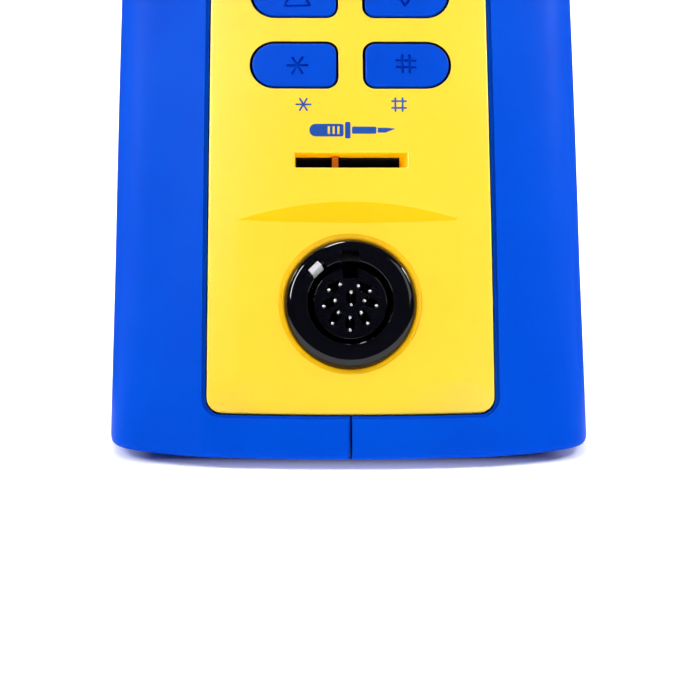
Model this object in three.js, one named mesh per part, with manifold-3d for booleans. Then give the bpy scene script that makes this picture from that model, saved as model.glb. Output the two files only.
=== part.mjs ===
// Soldering iron station: a leaning two-shell case with a yellow control panel over its front
// and top, four buttons, a display, a card slot, an eight-way iron socket and a rear mains panel.
// Millimetres, +Z up, the front faces -Y, origin under the middle of the footprint.

import * as THREE from 'three';
import { mergeVertices } from 'three/addons/utils/BufferGeometryUtils.js';
import Module from 'manifold-3d';

const wasm = await Module();
wasm.setup();

// ---------------------------------------------------------------- driving dimensions

const WIDTH = 80;              // overall, side to side
const DEPTH = 131;             // overall, front edge to fuse cap
const HEIGHT = 130;            // overall, floor to roof
const GAP = 0.3;               // clearance between touching pieces

const BASE_Z = 1.5;            // underside of the shells above the floor
const REAR_Y = 62;             // rear face of the shells
const FOOT_DRAW = 0.382;       // how far the rounding below draws the front edge back
const FRONT_Y = -DEPTH / 2 - FOOT_DRAW;
const LEAN = 0.313;            // backward slope of the front at its foot
const LEAN_GROWTH = 0.00123;   // how the slope grows with height, per mm
const BULGE_R = 140;           // plan radius of the front face
const CREASE_X = 23.6;         // where the front face turns into the shell corner
const CORNER_DEPTH = 22;       // how far behind the crease the sides begin
const CORNER_LEAD_X = 9.4;     // control points of the corner curve, from the crease
const CORNER_LEAD_Y = 4.2;
const CORNER_TRAIL_Y = 7.2;
const REAR_CORNER_R = 8;
const WALL = 3;                // shell wall
const HALF_SPLIT = 0.15;       // half of the parting gap between the shells
const BOTTOM_R = 2.2;          // rounding under the sides
const BOTTOM_FRONT = 0.25;     // share of that rounding on the front edge
const ROOF_R = 12;             // rounding of the roof
const ROOF_FRONT = 0.85;       // share of the roof rounding on the front
const ROOF_REAR = 0.65;        // share of the roof rounding on the rear

const PANEL_HALF = 23.2;       // half width of the yellow panel
const PANEL_FOOT = 8.75;       // height of the panel's lower edge
const PANEL_END = 30;          // where the panel ends on the roof
const PANEL_R = 3.2;           // panel corner radius
const PANEL_THICK = 2.6;
const STRIP_WIDTH = 0.8;       // sunk strip of shell round the panel
const STRIP_DEPTH = 0.7;
const LEDGE_REACH = 2.2;       // how far the shell ledge reaches under the panel
const LEDGE_THICK = 2;
const LEDGE_FOOT = 10;         // below this height the ledge stays close to the front

const PAD_DEPTH = 1.2;         // sunk flat round the iron socket
const PAD_FOOT = 13.6;
const PAD_TOP = 38.6;
const PAD_RAMP_TOP = 41.6;
const PAD_EDGE_DEPTH = 0.9;    // depth of the lower bevel at the panel's lower edge

const FEATURE_X = 0.25;        // buttons and card slot sit this far right of centre
const SOCKET_Z = 26;
const FLANGE_R = 10.7;         // iron socket's flange
const SLOT_Z = 48.2;
const SLOT_WIDTH = 18.6;
const SLOT_HEIGHT = 2.6;
const ROW_LOW_Z = 63.5;
const ROW_HIGH_Z = 75;
const BUTTON_X = 9.4;          // button centre from the feature line
const BUTTON_WIDTH = 14.8;     // button hole
const BUTTON_HEIGHT = 8.5;
const BUTTON_OUTER_R = 4.2;
const BUTTON_INNER_R = 2.1;
const BUTTON_PROUD = 0.2;
const WINDOW_Z = 94;
const WINDOW_WIDTH = 36;
const WINDOW_HEIGHT = 17;
const WINDOW_R = 2;

const PLATE_OUT = REAR_Y - WALL - GAP;   // outer face of the rear plate
const PLATE_THICK = 1.9;
const PLATE_HALF = 30;
const PLATE_FOOT = 12;
const PLATE_TOP = 108;
const PLATE_LAP = 2;           // how far the shells overlap the rear plate
const INLET = { x: -9, z: 27 };
const SWITCH = { x: -9, z: 56 };
const FUSE = { x: 19, z: 27 };
const JACK = { x: 19, z: 54 };

const SWITCH_SWING = (22 * Math.PI) / 180;
const SWITCH_PIVOT_Y = 57;

const CHASSIS_Z = 6.3;
const CHASSIS_THICK = 1.5;
const SCREW_PLACES = [[-28, -34], [28, -34], [-28, 40], [28, 40]];
const FOOT_PLACES = [[-31, -46], [31, -46], [-31, 52], [31, 52]];
const FOOT_R = 5.5;
const FOOT_TALL = 2.2;
const BOARD_Z = 69;            // underside of the main board
const BOARD_THICK = 1.6;
const CONTROL_Z = (ROW_LOW_Z + ROW_HIGH_Z) / 2;
const CONTROL_DEPTH = 10.8;    // front of the control board behind the panel face

// ---------------------------------------------------------------- materials

function finish(color, roughness, metalness = 0) {
  return new THREE.MeshStandardMaterial({ color, roughness, metalness });
}

const BLUE = finish(0x0a55e4, 0.5);
const YELLOW = finish(0xffe23c, 0.45);
const BLACK = finish(0x0c0c10, 0.25);
const BLACK_MATT = finish(0x1a1a1d, 0.6);
const RUBBER = finish(0x17171a, 0.85);
const SMOKED = finish(0x2a0608, 0.08);
const STEEL = finish(0xa9adb2, 0.35, 1);
const NICKEL = finish(0xcfd2d6, 0.25, 1);
const CORE_STEEL = finish(0x5a5d61, 0.55, 0.9);
const TAPE = finish(0xe4c24a, 0.5);
const BOARD = finish(0x1c6a3c, 0.45);
const ALUMINIUM = finish(0xb8bcc1, 0.45, 1);
const GLASS = finish(0xdfe6e8, 0.1);

// ---------------------------------------------------------------- solids and meshes

const station = new THREE.Group();

function toSolid(geometry) {
  const bare = geometry.clone();
  bare.deleteAttribute('normal');
  bare.deleteAttribute('uv');
  const merged = mergeVertices(bare, 1e-4);
  return new wasm.Manifold(new wasm.Mesh({
    numProp: 3,
    vertProperties: new Float32Array(merged.attributes.position.array),
    triVerts: new Uint32Array(merged.index.array),
  }));
}

function toGeometry(solid) {
  const mesh = solid.getMesh();
  const geometry = new THREE.BufferGeometry();
  geometry.setAttribute('position', new THREE.BufferAttribute(mesh.vertProperties, 3));
  geometry.setIndex(new THREE.BufferAttribute(mesh.triVerts, 1));
  geometry.computeVertexNormals();
  return geometry;
}

function place(name, shape, material, parent = station) {
  const geometry = shape.isBufferGeometry ? shape : toGeometry(shape);
  const mesh = new THREE.Mesh(geometry, material.clone());
  mesh.name = name;
  parent.add(mesh);
  return mesh;
}

function box(x0, x1, y0, y1, z0, z1) {
  const geometry = new THREE.BoxGeometry(x1 - x0, y1 - y0, z1 - z0);
  geometry.translate((x0 + x1) / 2, (y0 + y1) / 2, (z0 + z1) / 2);
  return geometry;
}

function boxSolid(...limits) {
  return toSolid(box(...limits));
}

// A shape drawn in x and z, pushed along Y.
function frontPrism(shape, y0, y1, segments = 6) {
  const options = { depth: y1 - y0, bevelEnabled: false, curveSegments: segments };
  const geometry = new THREE.ExtrudeGeometry(shape, options);
  geometry.rotateX(Math.PI / 2);
  geometry.translate(0, y1, 0);
  return geometry;
}

// A shape drawn in y and z, pushed along X.
function sidePrism(shape, x0, x1, segments = 6) {
  const options = { depth: x1 - x0, bevelEnabled: false, curveSegments: segments };
  const geometry = new THREE.ExtrudeGeometry(shape, options);
  geometry.rotateY(Math.PI / 2);
  geometry.rotateX(Math.PI / 2);
  geometry.translate(x0, 0, 0);
  return geometry;
}

// A shape drawn in x and y, pushed along Z.
function topPrism(shape, z0, z1, segments = 6) {
  const options = { depth: z1 - z0, bevelEnabled: false, curveSegments: segments };
  const geometry = new THREE.ExtrudeGeometry(shape, options);
  geometry.translate(0, 0, z0);
  return geometry;
}

// A round bar along Y or Z.
function barY(radius, y0, y1, x = 0, z = 0, sides = 16) {
  const geometry = new THREE.CylinderGeometry(radius, radius, y1 - y0, sides);
  geometry.translate(x, (y0 + y1) / 2, z);
  return geometry;
}

function barZ(radius, z0, z1, x = 0, y = 0, sides = 16) {
  const geometry = new THREE.CylinderGeometry(radius, radius, z1 - z0, sides);
  geometry.rotateX(Math.PI / 2);
  geometry.translate(x, y, (z0 + z1) / 2);
  return geometry;
}

// A turned piece about the Y axis: pairs of radius and y, closed on themselves or on the axis.
function turnedY(profile, sides = 24) {
  return new THREE.LatheGeometry(profile.map(([r, y]) => new THREE.Vector2(r, y)), sides);
}

function roundedRect(width, height, radius, cx = 0, cy = 0) {
  const shape = new THREE.Shape();
  const w = width / 2 - radius;
  const h = height / 2 - radius;
  shape.absarc(cx + w, cy - h, radius, -Math.PI / 2, 0);
  shape.absarc(cx + w, cy + h, radius, 0, Math.PI / 2);
  shape.absarc(cx - w, cy + h, radius, Math.PI / 2, Math.PI);
  shape.absarc(cx - w, cy - h, radius, Math.PI, Math.PI * 1.5);
  return shape;
}

function polygon(points) {
  return new THREE.Shape(points.map(([a, b]) => new THREE.Vector2(a, b)));
}

function movedBy(geometry, matrix) {
  return geometry.clone().applyMatrix4(matrix);
}

// ---------------------------------------------------------------- the body's outer form

function frontY(z) {
  const rise = z - BASE_Z;
  return FRONT_Y + LEAN * rise + LEAN_GROWTH * rise * rise;
}

function leanAt(z) {
  return Math.atan(LEAN + 2 * LEAN_GROWTH * (z - BASE_Z));
}

function bulge(x) {
  return (x * x) / (2 * BULGE_R);
}

// A frame on the front face: local Y goes inward, local Z goes up along the face.
function faceGroup(z, depth = 0) {
  const group = new THREE.Group();
  const lean = leanAt(z);
  group.rotation.x = -lean;
  group.position.set(0, frontY(z) + depth * Math.cos(lean), z - depth * Math.sin(lean));
  station.add(group);
  group.updateMatrix();
  return group;
}

// One horizontal ring of the body from the front centre round the right side. The curl is how
// far the ring has drawn in from the sides for the rounding above or below.
function planHalf(front, rear, curl) {
  const half = WIDTH / 2 - curl;
  const share = (half - CREASE_X) / (WIDTH / 2 - CREASE_X);
  const rearR = REAR_CORNER_R * (half / (WIDTH / 2));
  const crease = front + bulge(CREASE_X);
  const points = [];
  const frontSteps = 3;
  for (let i = 0; i <= frontSteps; i += 1) {
    const x = (CREASE_X * i) / frontSteps;
    points.push(new THREE.Vector2(x, front + bulge(x)));
  }
  const corner = new THREE.CubicBezierCurve(
    points[frontSteps],
    new THREE.Vector2(CREASE_X + CORNER_LEAD_X * share, crease + CORNER_LEAD_Y * share),
    new THREE.Vector2(half, crease + CORNER_TRAIL_Y * share),
    new THREE.Vector2(half, crease + CORNER_DEPTH * share),
  );
  points.push(...corner.getPoints(5).slice(1));
  const turn = new THREE.EllipseCurve(half - rearR, rear - rearR, rearR, rearR, 0, Math.PI / 2);
  points.push(...turn.getPoints(3));
  points.push(new THREE.Vector2(0, rear));
  return points;
}

function bodyRing(z, inset, curl, frontCurl, rearCurl) {
  const slant = 1 / Math.cos(leanAt(z));
  const half = planHalf(frontY(z) + frontCurl * slant, REAR_Y - rearCurl, curl);
  const mirrored = half.slice(1, -1).reverse().map((p) => new THREE.Vector2(-p.x, p.y));
  const ring = [...half, ...mirrored];
  return ring.map((point, i) => {
    const before = ring[(i + ring.length - 1) % ring.length];
    const after = ring[(i + 1) % ring.length];
    const n1 = new THREE.Vector2(point.y - before.y, before.x - point.x).normalize();
    const n2 = new THREE.Vector2(after.y - point.y, point.x - after.x).normalize();
    const normal = n1.clone().add(n2).normalize();
    const stretch = normal.y < 0 ? 1 + (slant - 1) * normal.y ** 2 : 1;
    const shift = (inset * stretch) / normal.dot(n1);
    return new THREE.Vector3(point.x - normal.x * shift, point.y - normal.y * shift, z);
  });
}

// Stack rings into one closed skin.
function loft(rings) {
  const count = rings[0].length;
  const positions = rings.flat().flatMap((p) => [p.x, p.y, p.z]);
  const index = [];
  for (let level = 0; level + 1 < rings.length; level += 1) {
    for (let i = 0; i < count; i += 1) {
      const a = level * count + i;
      const b = level * count + ((i + 1) % count);
      index.push(a, b, b + count, a, b + count, a + count);
    }
  }
  const top = (rings.length - 1) * count;
  for (let i = 1; i + 1 < count; i += 1) {
    index.push(0, i + 1, i);
    index.push(top, top + i, top + i + 1);
  }
  const geometry = new THREE.BufferGeometry();
  geometry.setAttribute('position', new THREE.Float32BufferAttribute(positions, 3));
  geometry.setIndex(index);
  return geometry;
}

// The whole body, shrunk inward by an inset.
function bodySolid(inset) {
  const rings = [];
  const low = Math.max(BOTTOM_R - inset, 0);
  const lowSteps = low > 0 ? 2 : 0;
  for (let i = 0; i <= lowSteps; i += 1) {
    const angle = lowSteps ? (Math.PI / 2) * (i / lowSteps) : Math.PI / 2;
    const curl = low * (1 - Math.sin(angle));
    const z = BASE_Z + inset + low * (1 - Math.cos(angle));
    rings.push(bodyRing(z, inset, curl, curl * BOTTOM_FRONT, curl));
  }
  const roofStart = HEIGHT - ROOF_R;
  const straightSteps = 5;
  const straightStart = BASE_Z + Math.max(BOTTOM_R, inset);
  for (let i = 1; i <= straightSteps; i += 1) {
    const z = straightStart + (roofStart - straightStart) * (i / straightSteps);
    rings.push(bodyRing(z, inset, 0, 0, 0));
  }
  const roof = ROOF_R - inset;
  const roofSteps = 4;
  for (let i = 1; i <= roofSteps; i += 1) {
    const angle = (Math.PI / 2) * (i / roofSteps);
    const curl = roof * (1 - Math.cos(angle));
    const z = roofStart + roof * Math.sin(angle);
    rings.push(bodyRing(z, inset, curl, curl * ROOF_FRONT, curl * ROOF_REAR));
  }
  return toSolid(loft(rings));
}

// ---------------------------------------------------------------- the panel's outline

// The space that the panel fills, seen from the front and from above, grown by a margin.
function panelRegion(grow) {
  const half = PANEL_HALF + grow;
  const radius = PANEL_R + grow;
  const foot = PANEL_FOOT - grow;
  const front = new THREE.Shape();
  front.moveTo(-half, HEIGHT + 10);
  front.lineTo(-half, foot + radius);
  front.absarc(-half + radius, foot + radius, radius, Math.PI, Math.PI * 1.5);
  front.absarc(half - radius, foot + radius, radius, -Math.PI / 2, 0);
  front.lineTo(half, HEIGHT + 10);
  const end = PANEL_END + grow;
  const above = new THREE.Shape();
  above.moveTo(-half, FRONT_Y - 10);
  above.lineTo(half, FRONT_Y - 10);
  above.absarc(half - radius, end - radius, radius, 0, Math.PI / 2);
  above.absarc(-half + radius, end - radius, radius, Math.PI / 2, Math.PI);
  const frontSolid = toSolid(frontPrism(front, FRONT_Y - 5, REAR_Y, 4));
  const aboveSolid = toSolid(topPrism(above, 0, HEIGHT + 5, 4));
  return frontSolid.intersect(aboveSolid);
}

// Everything in front of the sunk flat, its upper ramp and its lower bevel.
function padCutter() {
  const heights = [PAD_FOOT, (PAD_FOOT + PAD_TOP) / 2, PAD_TOP];
  const below = PANEL_FOOT - 3;
  const clear = FRONT_Y - 10;
  const points = [[clear, below], [frontY(below) + PAD_EDGE_DEPTH, below]];
  points.push([frontY(PANEL_FOOT) + PAD_EDGE_DEPTH, PANEL_FOOT]);
  for (const z of heights) points.push([frontY(z) + PAD_DEPTH, z]);
  points.push([frontY(PAD_RAMP_TOP) - 0.02, PAD_RAMP_TOP]);
  points.push([clear, PAD_RAMP_TOP]);
  return toSolid(sidePrism(polygon(points), -PANEL_HALF - 1, PANEL_HALF + 1));
}

// ---------------------------------------------------------------- outlines of the controls

// Round on the outer side, softly cornered on the inner side. side is -1 left, 1 right.
function buttonShape(side, grow) {
  const half = BUTTON_WIDTH / 2 + grow;
  const tall = BUTTON_HEIGHT / 2 + grow;
  const outer = BUTTON_OUTER_R + grow;
  const inner = BUTTON_INNER_R + grow;
  const left = side < 0 ? outer : inner;
  const right = side < 0 ? inner : outer;
  const cx = FEATURE_X + side * BUTTON_X;
  const shape = new THREE.Shape();
  shape.absarc(cx + half - right, -tall + right, right, -Math.PI / 2, 0);
  shape.absarc(cx + half - right, tall - right, right, 0, Math.PI / 2);
  shape.absarc(cx - half + left, tall - left, left, Math.PI / 2, Math.PI);
  shape.absarc(cx - half + left, -tall + left, left, Math.PI, Math.PI * 1.5);
  return shape;
}

const BUTTONS = [
  { name: 'up', side: -1, z: ROW_HIGH_Z },
  { name: 'down', side: 1, z: ROW_HIGH_Z },
  { name: 'star', side: -1, z: ROW_LOW_Z },
  { name: 'hash', side: 1, z: ROW_LOW_Z },
];

// ---------------------------------------------------------------- shells

function shellFeatures() {
  let features = bodySolid(PANEL_THICK + GAP).subtract(bodySolid(PANEL_THICK + GAP + LEDGE_THICK));
  features = features.intersect(panelRegion(STRIP_WIDTH + 2));
  features = features.subtract(panelRegion(-LEDGE_REACH));
  const half = PANEL_HALF + LEDGE_REACH + STRIP_WIDTH + 3;
  return features.subtract(boxSolid(-half, half, FRONT_Y + 7, REAR_Y, 0, LEDGE_FOOT));
}

const RAIL_THICK = 2;          // rails that hold the rear plate
const RAIL_REACH = 2.5;
const BOARD_RAIL = 1.6;        // rails that hold the main board
const BOARD_RAIL_X = 31.5;
const BOARD_RAIL_Y = [-12, 48];
const POST_R = 4.2;            // posts under the chassis plate
const SCREW_HOLE_R = 1.9;
const SCREW_SINK_R = 3.5;
const SCREW_SINK_TOP = 3.4;
const FLOOR_VENT = { count: 5, length: 16, width: 2.6, pitch: 8, x: 13, y: -20 };

// Rails that catch the rear plate and the main board, and posts under the chassis.
function shellRails(side) {
  const across = (a, b) => [Math.min(side * a, side * b), Math.max(side * a, side * b)];
  const outer = WIDTH / 2 - WALL + 0.5;
  const back = PLATE_OUT - PLATE_THICK - GAP;
  const front = back - RAIL_THICK;
  const upright = [PLATE_FOOT + PLATE_LAP, PLATE_TOP - 8];
  const edge = PLATE_HALF + RAIL_REACH;
  let rails = boxSolid(...across(PLATE_HALF + GAP, edge), front, REAR_Y - 1, ...upright);
  rails = rails.add(boxSolid(...across(PLATE_HALF - 1.5, edge), front, back, ...upright));
  for (const z of [BOARD_Z - GAP - BOARD_RAIL, BOARD_Z + BOARD_THICK + GAP]) {
    rails = rails.add(boxSolid(...across(BOARD_RAIL_X, outer), ...BOARD_RAIL_Y, z, z + BOARD_RAIL));
  }
  for (const [x, y] of SCREW_PLACES) {
    if (Math.sign(x) !== side) continue;
    rails = rails.add(toSolid(barZ(POST_R, BASE_Z + WALL / 2, CHASSIS_Z - GAP, x, y, 10)));
  }
  return rails;
}

function shellCuts() {
  const opening = roundedRect(
    2 * (PLATE_HALF - PLATE_LAP), PLATE_TOP - PLATE_FOOT - 2 * PLATE_LAP, 3, 0,
    (PLATE_TOP + PLATE_FOOT) / 2,
  );
  let cuts = toSolid(frontPrism(opening, REAR_Y - WALL - 0.05, REAR_Y + 1, 3));
  for (const [x, y] of SCREW_PLACES) {
    cuts = cuts.add(toSolid(barZ(SCREW_HOLE_R, 0, CHASSIS_Z, x, y, 8)));
    cuts = cuts.add(toSolid(barZ(SCREW_SINK_R, 0, SCREW_SINK_TOP, x, y, 10)));
  }
  for (const [x, y] of FOOT_PLACES) {
    cuts = cuts.add(toSolid(barZ(FOOT_R + GAP, 0, FOOT_TALL + GAP, x, y, 14)));
  }
  const { count, length, width, pitch, x: ventX, y: ventY } = FLOOR_VENT;
  for (const side of [-1, 1]) {
    for (let i = 0; i < count; i += 1) {
      const slot = roundedRect(length, width, width / 2, side * ventX, ventY + i * pitch);
      cuts = cuts.add(toSolid(topPrism(slot, 0, BASE_Z + WALL + 1, 2)));
    }
  }
  return cuts;
}

function buildShells() {
  let skin = bodySolid(0).subtract(bodySolid(WALL));
  const sunk = panelRegion(STRIP_WIDTH).subtract(bodySolid(STRIP_DEPTH));
  skin = skin.subtract(panelRegion(GAP)).subtract(sunk).add(shellFeatures());
  const cuts = shellCuts();
  for (const side of [-1, 1]) {
    const near = HALF_SPLIT * side;
    const far = 60 * side;
    const half = boxSolid(Math.min(near, far), Math.max(near, far), -90, 90, -5, 140);
    const shell = skin.add(shellRails(side)).subtract(cuts).intersect(half);
    place(side < 0 ? 'left_shell' : 'right_shell', shell, BLUE);
  }
}

// ---------------------------------------------------------------- front panel

const COUNTERSINK_R = 11.7;    // bevel round the iron socket's seat
const COUNTERSINK_DEPTH = 0.5;
const SEAT_DEPTH = 1.7;        // seat of the socket flange behind the sunk flat
const BORE_R = 9.8;
const BACKING_THICK = 4.2;     // thicker stretch of panel behind the socket

function socketBore() {
  const seat = FLANGE_R + GAP + 0.05;
  const near = -2;
  const far = 8;
  return turnedY([
    [0, near], [COUNTERSINK_R + 0.1, near], [COUNTERSINK_R, 0], [seat, COUNTERSINK_DEPTH],
    [seat, SEAT_DEPTH], [BORE_R, SEAT_DEPTH], [BORE_R, far], [0, far],
  ], 28);
}

function buildFrontPanel() {
  let panel = bodySolid(0).subtract(bodySolid(PANEL_THICK)).intersect(panelRegion(0));
  const socket = faceGroup(SOCKET_Z, PAD_DEPTH);
  const backing = box(-20, 20, 1, BACKING_THICK, -13, 17);
  panel = panel.add(toSolid(movedBy(backing, socket.matrix))).subtract(padCutter());
  panel = panel.subtract(toSolid(movedBy(socketBore(), socket.matrix)));

  const slot = roundedRect(SLOT_WIDTH, SLOT_HEIGHT, 0.3, FEATURE_X, 0);
  panel = panel.subtract(toSolid(movedBy(frontPrism(slot, -3, 6, 1), faceGroup(SLOT_Z).matrix)));
  for (const { side, z } of BUTTONS) {
    const hole = frontPrism(buttonShape(side, 0), -3, 8, 3);
    panel = panel.subtract(toSolid(movedBy(hole, faceGroup(z).matrix)));
  }
  const opening = frontPrism(roundedRect(WINDOW_WIDTH, WINDOW_HEIGHT, WINDOW_R), -3, 8, 2);
  panel = panel.subtract(toSolid(movedBy(opening, faceGroup(WINDOW_Z).matrix)));
  place('front_panel', panel, YELLOW);
}

// ---------------------------------------------------------------- display and buttons

// Give the two flat ends of a front prism the bulge of the panel.
function followBulge(geometry, middle) {
  const points = geometry.attributes.position;
  for (let i = 0; i < points.count; i += 1) {
    if (points.getY(i) < middle) points.setY(i, points.getY(i) + bulge(points.getX(i)));
  }
  return geometry;
}

const WINDOW_NEAR = 0.5;       // faces of the window behind the panel face
const WINDOW_FAR = 2.5;

function buildDisplay() {
  const frame = faceGroup(WINDOW_Z);
  const outline = roundedRect(WINDOW_WIDTH - 2 * GAP, WINDOW_HEIGHT - 2 * GAP, WINDOW_R - GAP);
  const pane = followBulge(frontPrism(outline, WINDOW_NEAR, WINDOW_FAR, 2), 5);
  place('display_window', pane, SMOKED, frame);
  place('display_module', box(-16, 16, 4.6, 9.2, -6.5, 6.5), BLACK_MATT, frame);
}

const CAP_DEPTH = 4.9;         // rear face of a button cap
const LIP_NEAR = 4.1;          // lip that keeps the cap behind the panel
const LIP_REACH = 0.6;
const STEM_R = 2;
const STEM_END = 6.6;
const PLUNGER_R = 1.5;
const PLUNGER_END = 9.2;
const SWITCH_HALF = 3;         // half width of a switch under a button
const SWITCH_NEAR = 8;
const WELL_R = 1.9;            // well that the plunger moves in
const WELL_END = 10.15;

function buildButtons() {
  for (const { name, side, z } of BUTTONS) {
    const frame = faceGroup(z);
    const x = FEATURE_X + side * BUTTON_X;
    const face = frontPrism(buttonShape(side, -GAP), -BUTTON_PROUD, CAP_DEPTH, 3);
    const lip = frontPrism(buttonShape(side, LIP_REACH), LIP_NEAR, CAP_DEPTH, 2);
    const stem = toSolid(barY(STEM_R, CAP_DEPTH - 0.4, STEM_END, x, 0, 10));
    const cap = toSolid(followBulge(face, 2)).add(toSolid(lip)).add(stem);
    place(`button_${name}`, cap, BLUE, frame);

    const plunger = barY(PLUNGER_R, STEM_END + GAP, PLUNGER_END, x, 0, 8);
    place(`plunger_${name}`, plunger, BLACK_MATT, frame);
    const sides = [-SWITCH_HALF, SWITCH_HALF];
    const width = sides.map((v) => x + v);
    const base = boxSolid(...width, SWITCH_NEAR, CONTROL_DEPTH - 0.5, ...sides);
    const well = toSolid(barY(WELL_R, SWITCH_NEAR - 1, WELL_END, x, 0, 8));
    place(`switch_${name}`, base.subtract(well), STEEL, frame);
  }
}

function buildControlBoard() {
  const frame = faceGroup(CONTROL_Z, CONTROL_DEPTH);
  const board = roundedRect(41, 53, 1.5, 0, 9.5);
  let shape = toSolid(frontPrism(board, 0, BOARD_THICK, 2));
  for (const x of [-18, 18]) {
    for (const z of [-14, 33]) shape = shape.subtract(toSolid(barY(1.5, -1, 3, x, z, 8)));
  }
  place('control_board', shape, BOARD, frame);
}

const READER_NEAR = 3.6;       // front and rear of the card reader behind the panel face
const READER_FAR = 22;
const READER_HALF_HEIGHT = 3.2;
const KEY_RIB = [-2.9, -1.9];  // rib that keys the card, across the throat

function buildCardReader() {
  const frame = faceGroup(SLOT_Z);
  const half = SLOT_WIDTH / 2;
  const width = [FEATURE_X - half - 2, FEATURE_X + half + 2];
  const tall = [-READER_HALF_HEIGHT, READER_HALF_HEIGHT];
  let shape = boxSolid(...width, READER_NEAR, READER_FAR, ...tall);
  const throat = [FEATURE_X - half + 0.4, FEATURE_X + half - 0.4, READER_NEAR - 0.6, READER_FAR - 1.5];
  shape = shape.subtract(boxSolid(...throat, -SLOT_HEIGHT / 2, SLOT_HEIGHT / 2));
  shape = shape.add(boxSolid(...KEY_RIB, READER_NEAR + 1.4, READER_FAR - 1, -1.6, 1.6));
  place('card_reader', shape, BLACK_MATT, frame);
}

// ---------------------------------------------------------------- iron socket

const PIN_CIRCLE_R = 3.45;
const PIN_HOLE_R = 0.9;
const CONTACT_R = 0.5;
const INSERT_R = 5.9;
const INSERT_FACE = 0.6;       // face of the insert behind the sunk flat
const GROOVE_R = 6.9;
const FLANGE_PROUD = 1.1;      // highest part of the flange's rounded rim
const BARREL_R = 9.5;
const BARREL_END = 14;
const KEY_HALF = 1.5;          // half width of the key notch at the top
const LATCH_HALF = 1.3;        // half width of the latch

// The eight contact places: seven round the circle, leaving the top free, and one in the middle.
function contactPlaces() {
  const places = [];
  for (let i = 0; i < 7; i += 1) {
    const angle = Math.PI / 2 + ((i + 1) * Math.PI) / 4;
    places.push([PIN_CIRCLE_R * Math.cos(angle), PIN_CIRCLE_R * Math.sin(angle)]);
  }
  places.push([0.1, 0.75]);
  return places;
}

function buildFlange(frame) {
  const ring = [
    [GROOVE_R, -0.9], [9.2, -FLANGE_PROUD], [10, -0.95], [10.5, -0.5], [FLANGE_R, 0.2],
    [FLANGE_R, SEAT_DEPTH - GAP], [BARREL_R, SEAT_DEPTH - GAP], [BARREL_R, BARREL_END],
    [GROOVE_R, BARREL_END], [GROOVE_R, -0.9],
  ];
  let flange = toSolid(turnedY(ring, 28));
  flange = flange.subtract(boxSolid(-KEY_HALF, KEY_HALF, -3, 6, 5, 8.6));
  const notch = box(-LATCH_HALF - GAP, LATCH_HALF + GAP, -3, 4, 6, 9.1);
  notch.rotateY(-Math.PI / 4);
  flange = flange.subtract(toSolid(notch));
  place('socket_flange', flange, BLACK, frame);
}

function buildInsert(frame) {
  const inside = GROOVE_R - GAP;
  const step = 7;
  const end = BARREL_END - 1;
  const plug = [[0, INSERT_FACE], [INSERT_R, INSERT_FACE], [INSERT_R, step], [inside, step]];
  plug.push([inside, end], [0, end]);
  let insert = toSolid(turnedY(plug, 20));
  insert = insert.subtract(boxSolid(0.15 - KEY_HALF, KEY_HALF - 0.15, -1, 6, 3.95, 8));
  for (const [x, z] of contactPlaces()) {
    insert = insert.subtract(toSolid(barY(PIN_HOLE_R, -1, BARREL_END + 1, x, z, 6)));
  }
  place('socket_insert', insert, BLACK, frame);
}

function buildNut(frame) {
  const cornerR = 13.4;
  const outline = new THREE.Shape();
  outline.absarc(0, 0, 13, 0, Math.PI * 2);
  outline.holes.push(new THREE.Path().absarc(0, 0, BARREL_R + 0.4, 0, Math.PI * 2, true));
  const ring = toSolid(frontPrism(outline, 4.5, 7.5, 12));
  const hexagon = toSolid(turnedY([[0, 4], [cornerR, 4], [cornerR, 8], [0, 8]], 6));
  place('socket_nut', ring.intersect(hexagon), STEEL, frame);
}

function buildSocket() {
  const frame = faceGroup(SOCKET_Z, PAD_DEPTH);
  buildFlange(frame);
  buildInsert(frame);
  buildNut(frame);
  contactPlaces().forEach(([x, z], i) => {
    const contact = barY(CONTACT_R, INSERT_FACE + 0.4, 17.5, x, z, 6);
    place(`contact_${i + 1}`, contact, NICKEL, frame);
  });
  const tab = box(-LATCH_HALF, LATCH_HALF, 1.2, 1.7, 7.2, 8.8);
  const leg = box(-LATCH_HALF, LATCH_HALF, 1.2, 4 - GAP, 8.3, 8.8);
  const latch = toSolid(tab).add(toSolid(leg)).rotate([0, -45, 0]);
  place('socket_latch', latch, NICKEL, frame);
}

// ---------------------------------------------------------------- rear panel and mains pieces

const INLET_BLOCK = [27, 19.8];
const SWITCH_BLOCK = [13, 19.6];
const HOLDER_R = 6.5;          // barrel of the fuse holder
const JACK_R = 3.4;            // barrel of the jack
const PLATE_VENT = { count: 6, length: 36, width: 2.6, pitch: 5, z: 75 };

// A hole through the rear plate, and the same outline at any other depth.
function plateSlot(width, height, radius, x, z, segments) {
  const outline = roundedRect(width, height, radius, x, z);
  return toSolid(frontPrism(outline, PLATE_OUT - 5, PLATE_OUT + 5, segments));
}

function plateBore(radius, place2d, sides) {
  return toSolid(barY(radius, PLATE_OUT - 5, PLATE_OUT + 5, place2d.x, place2d.z, sides));
}

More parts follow.
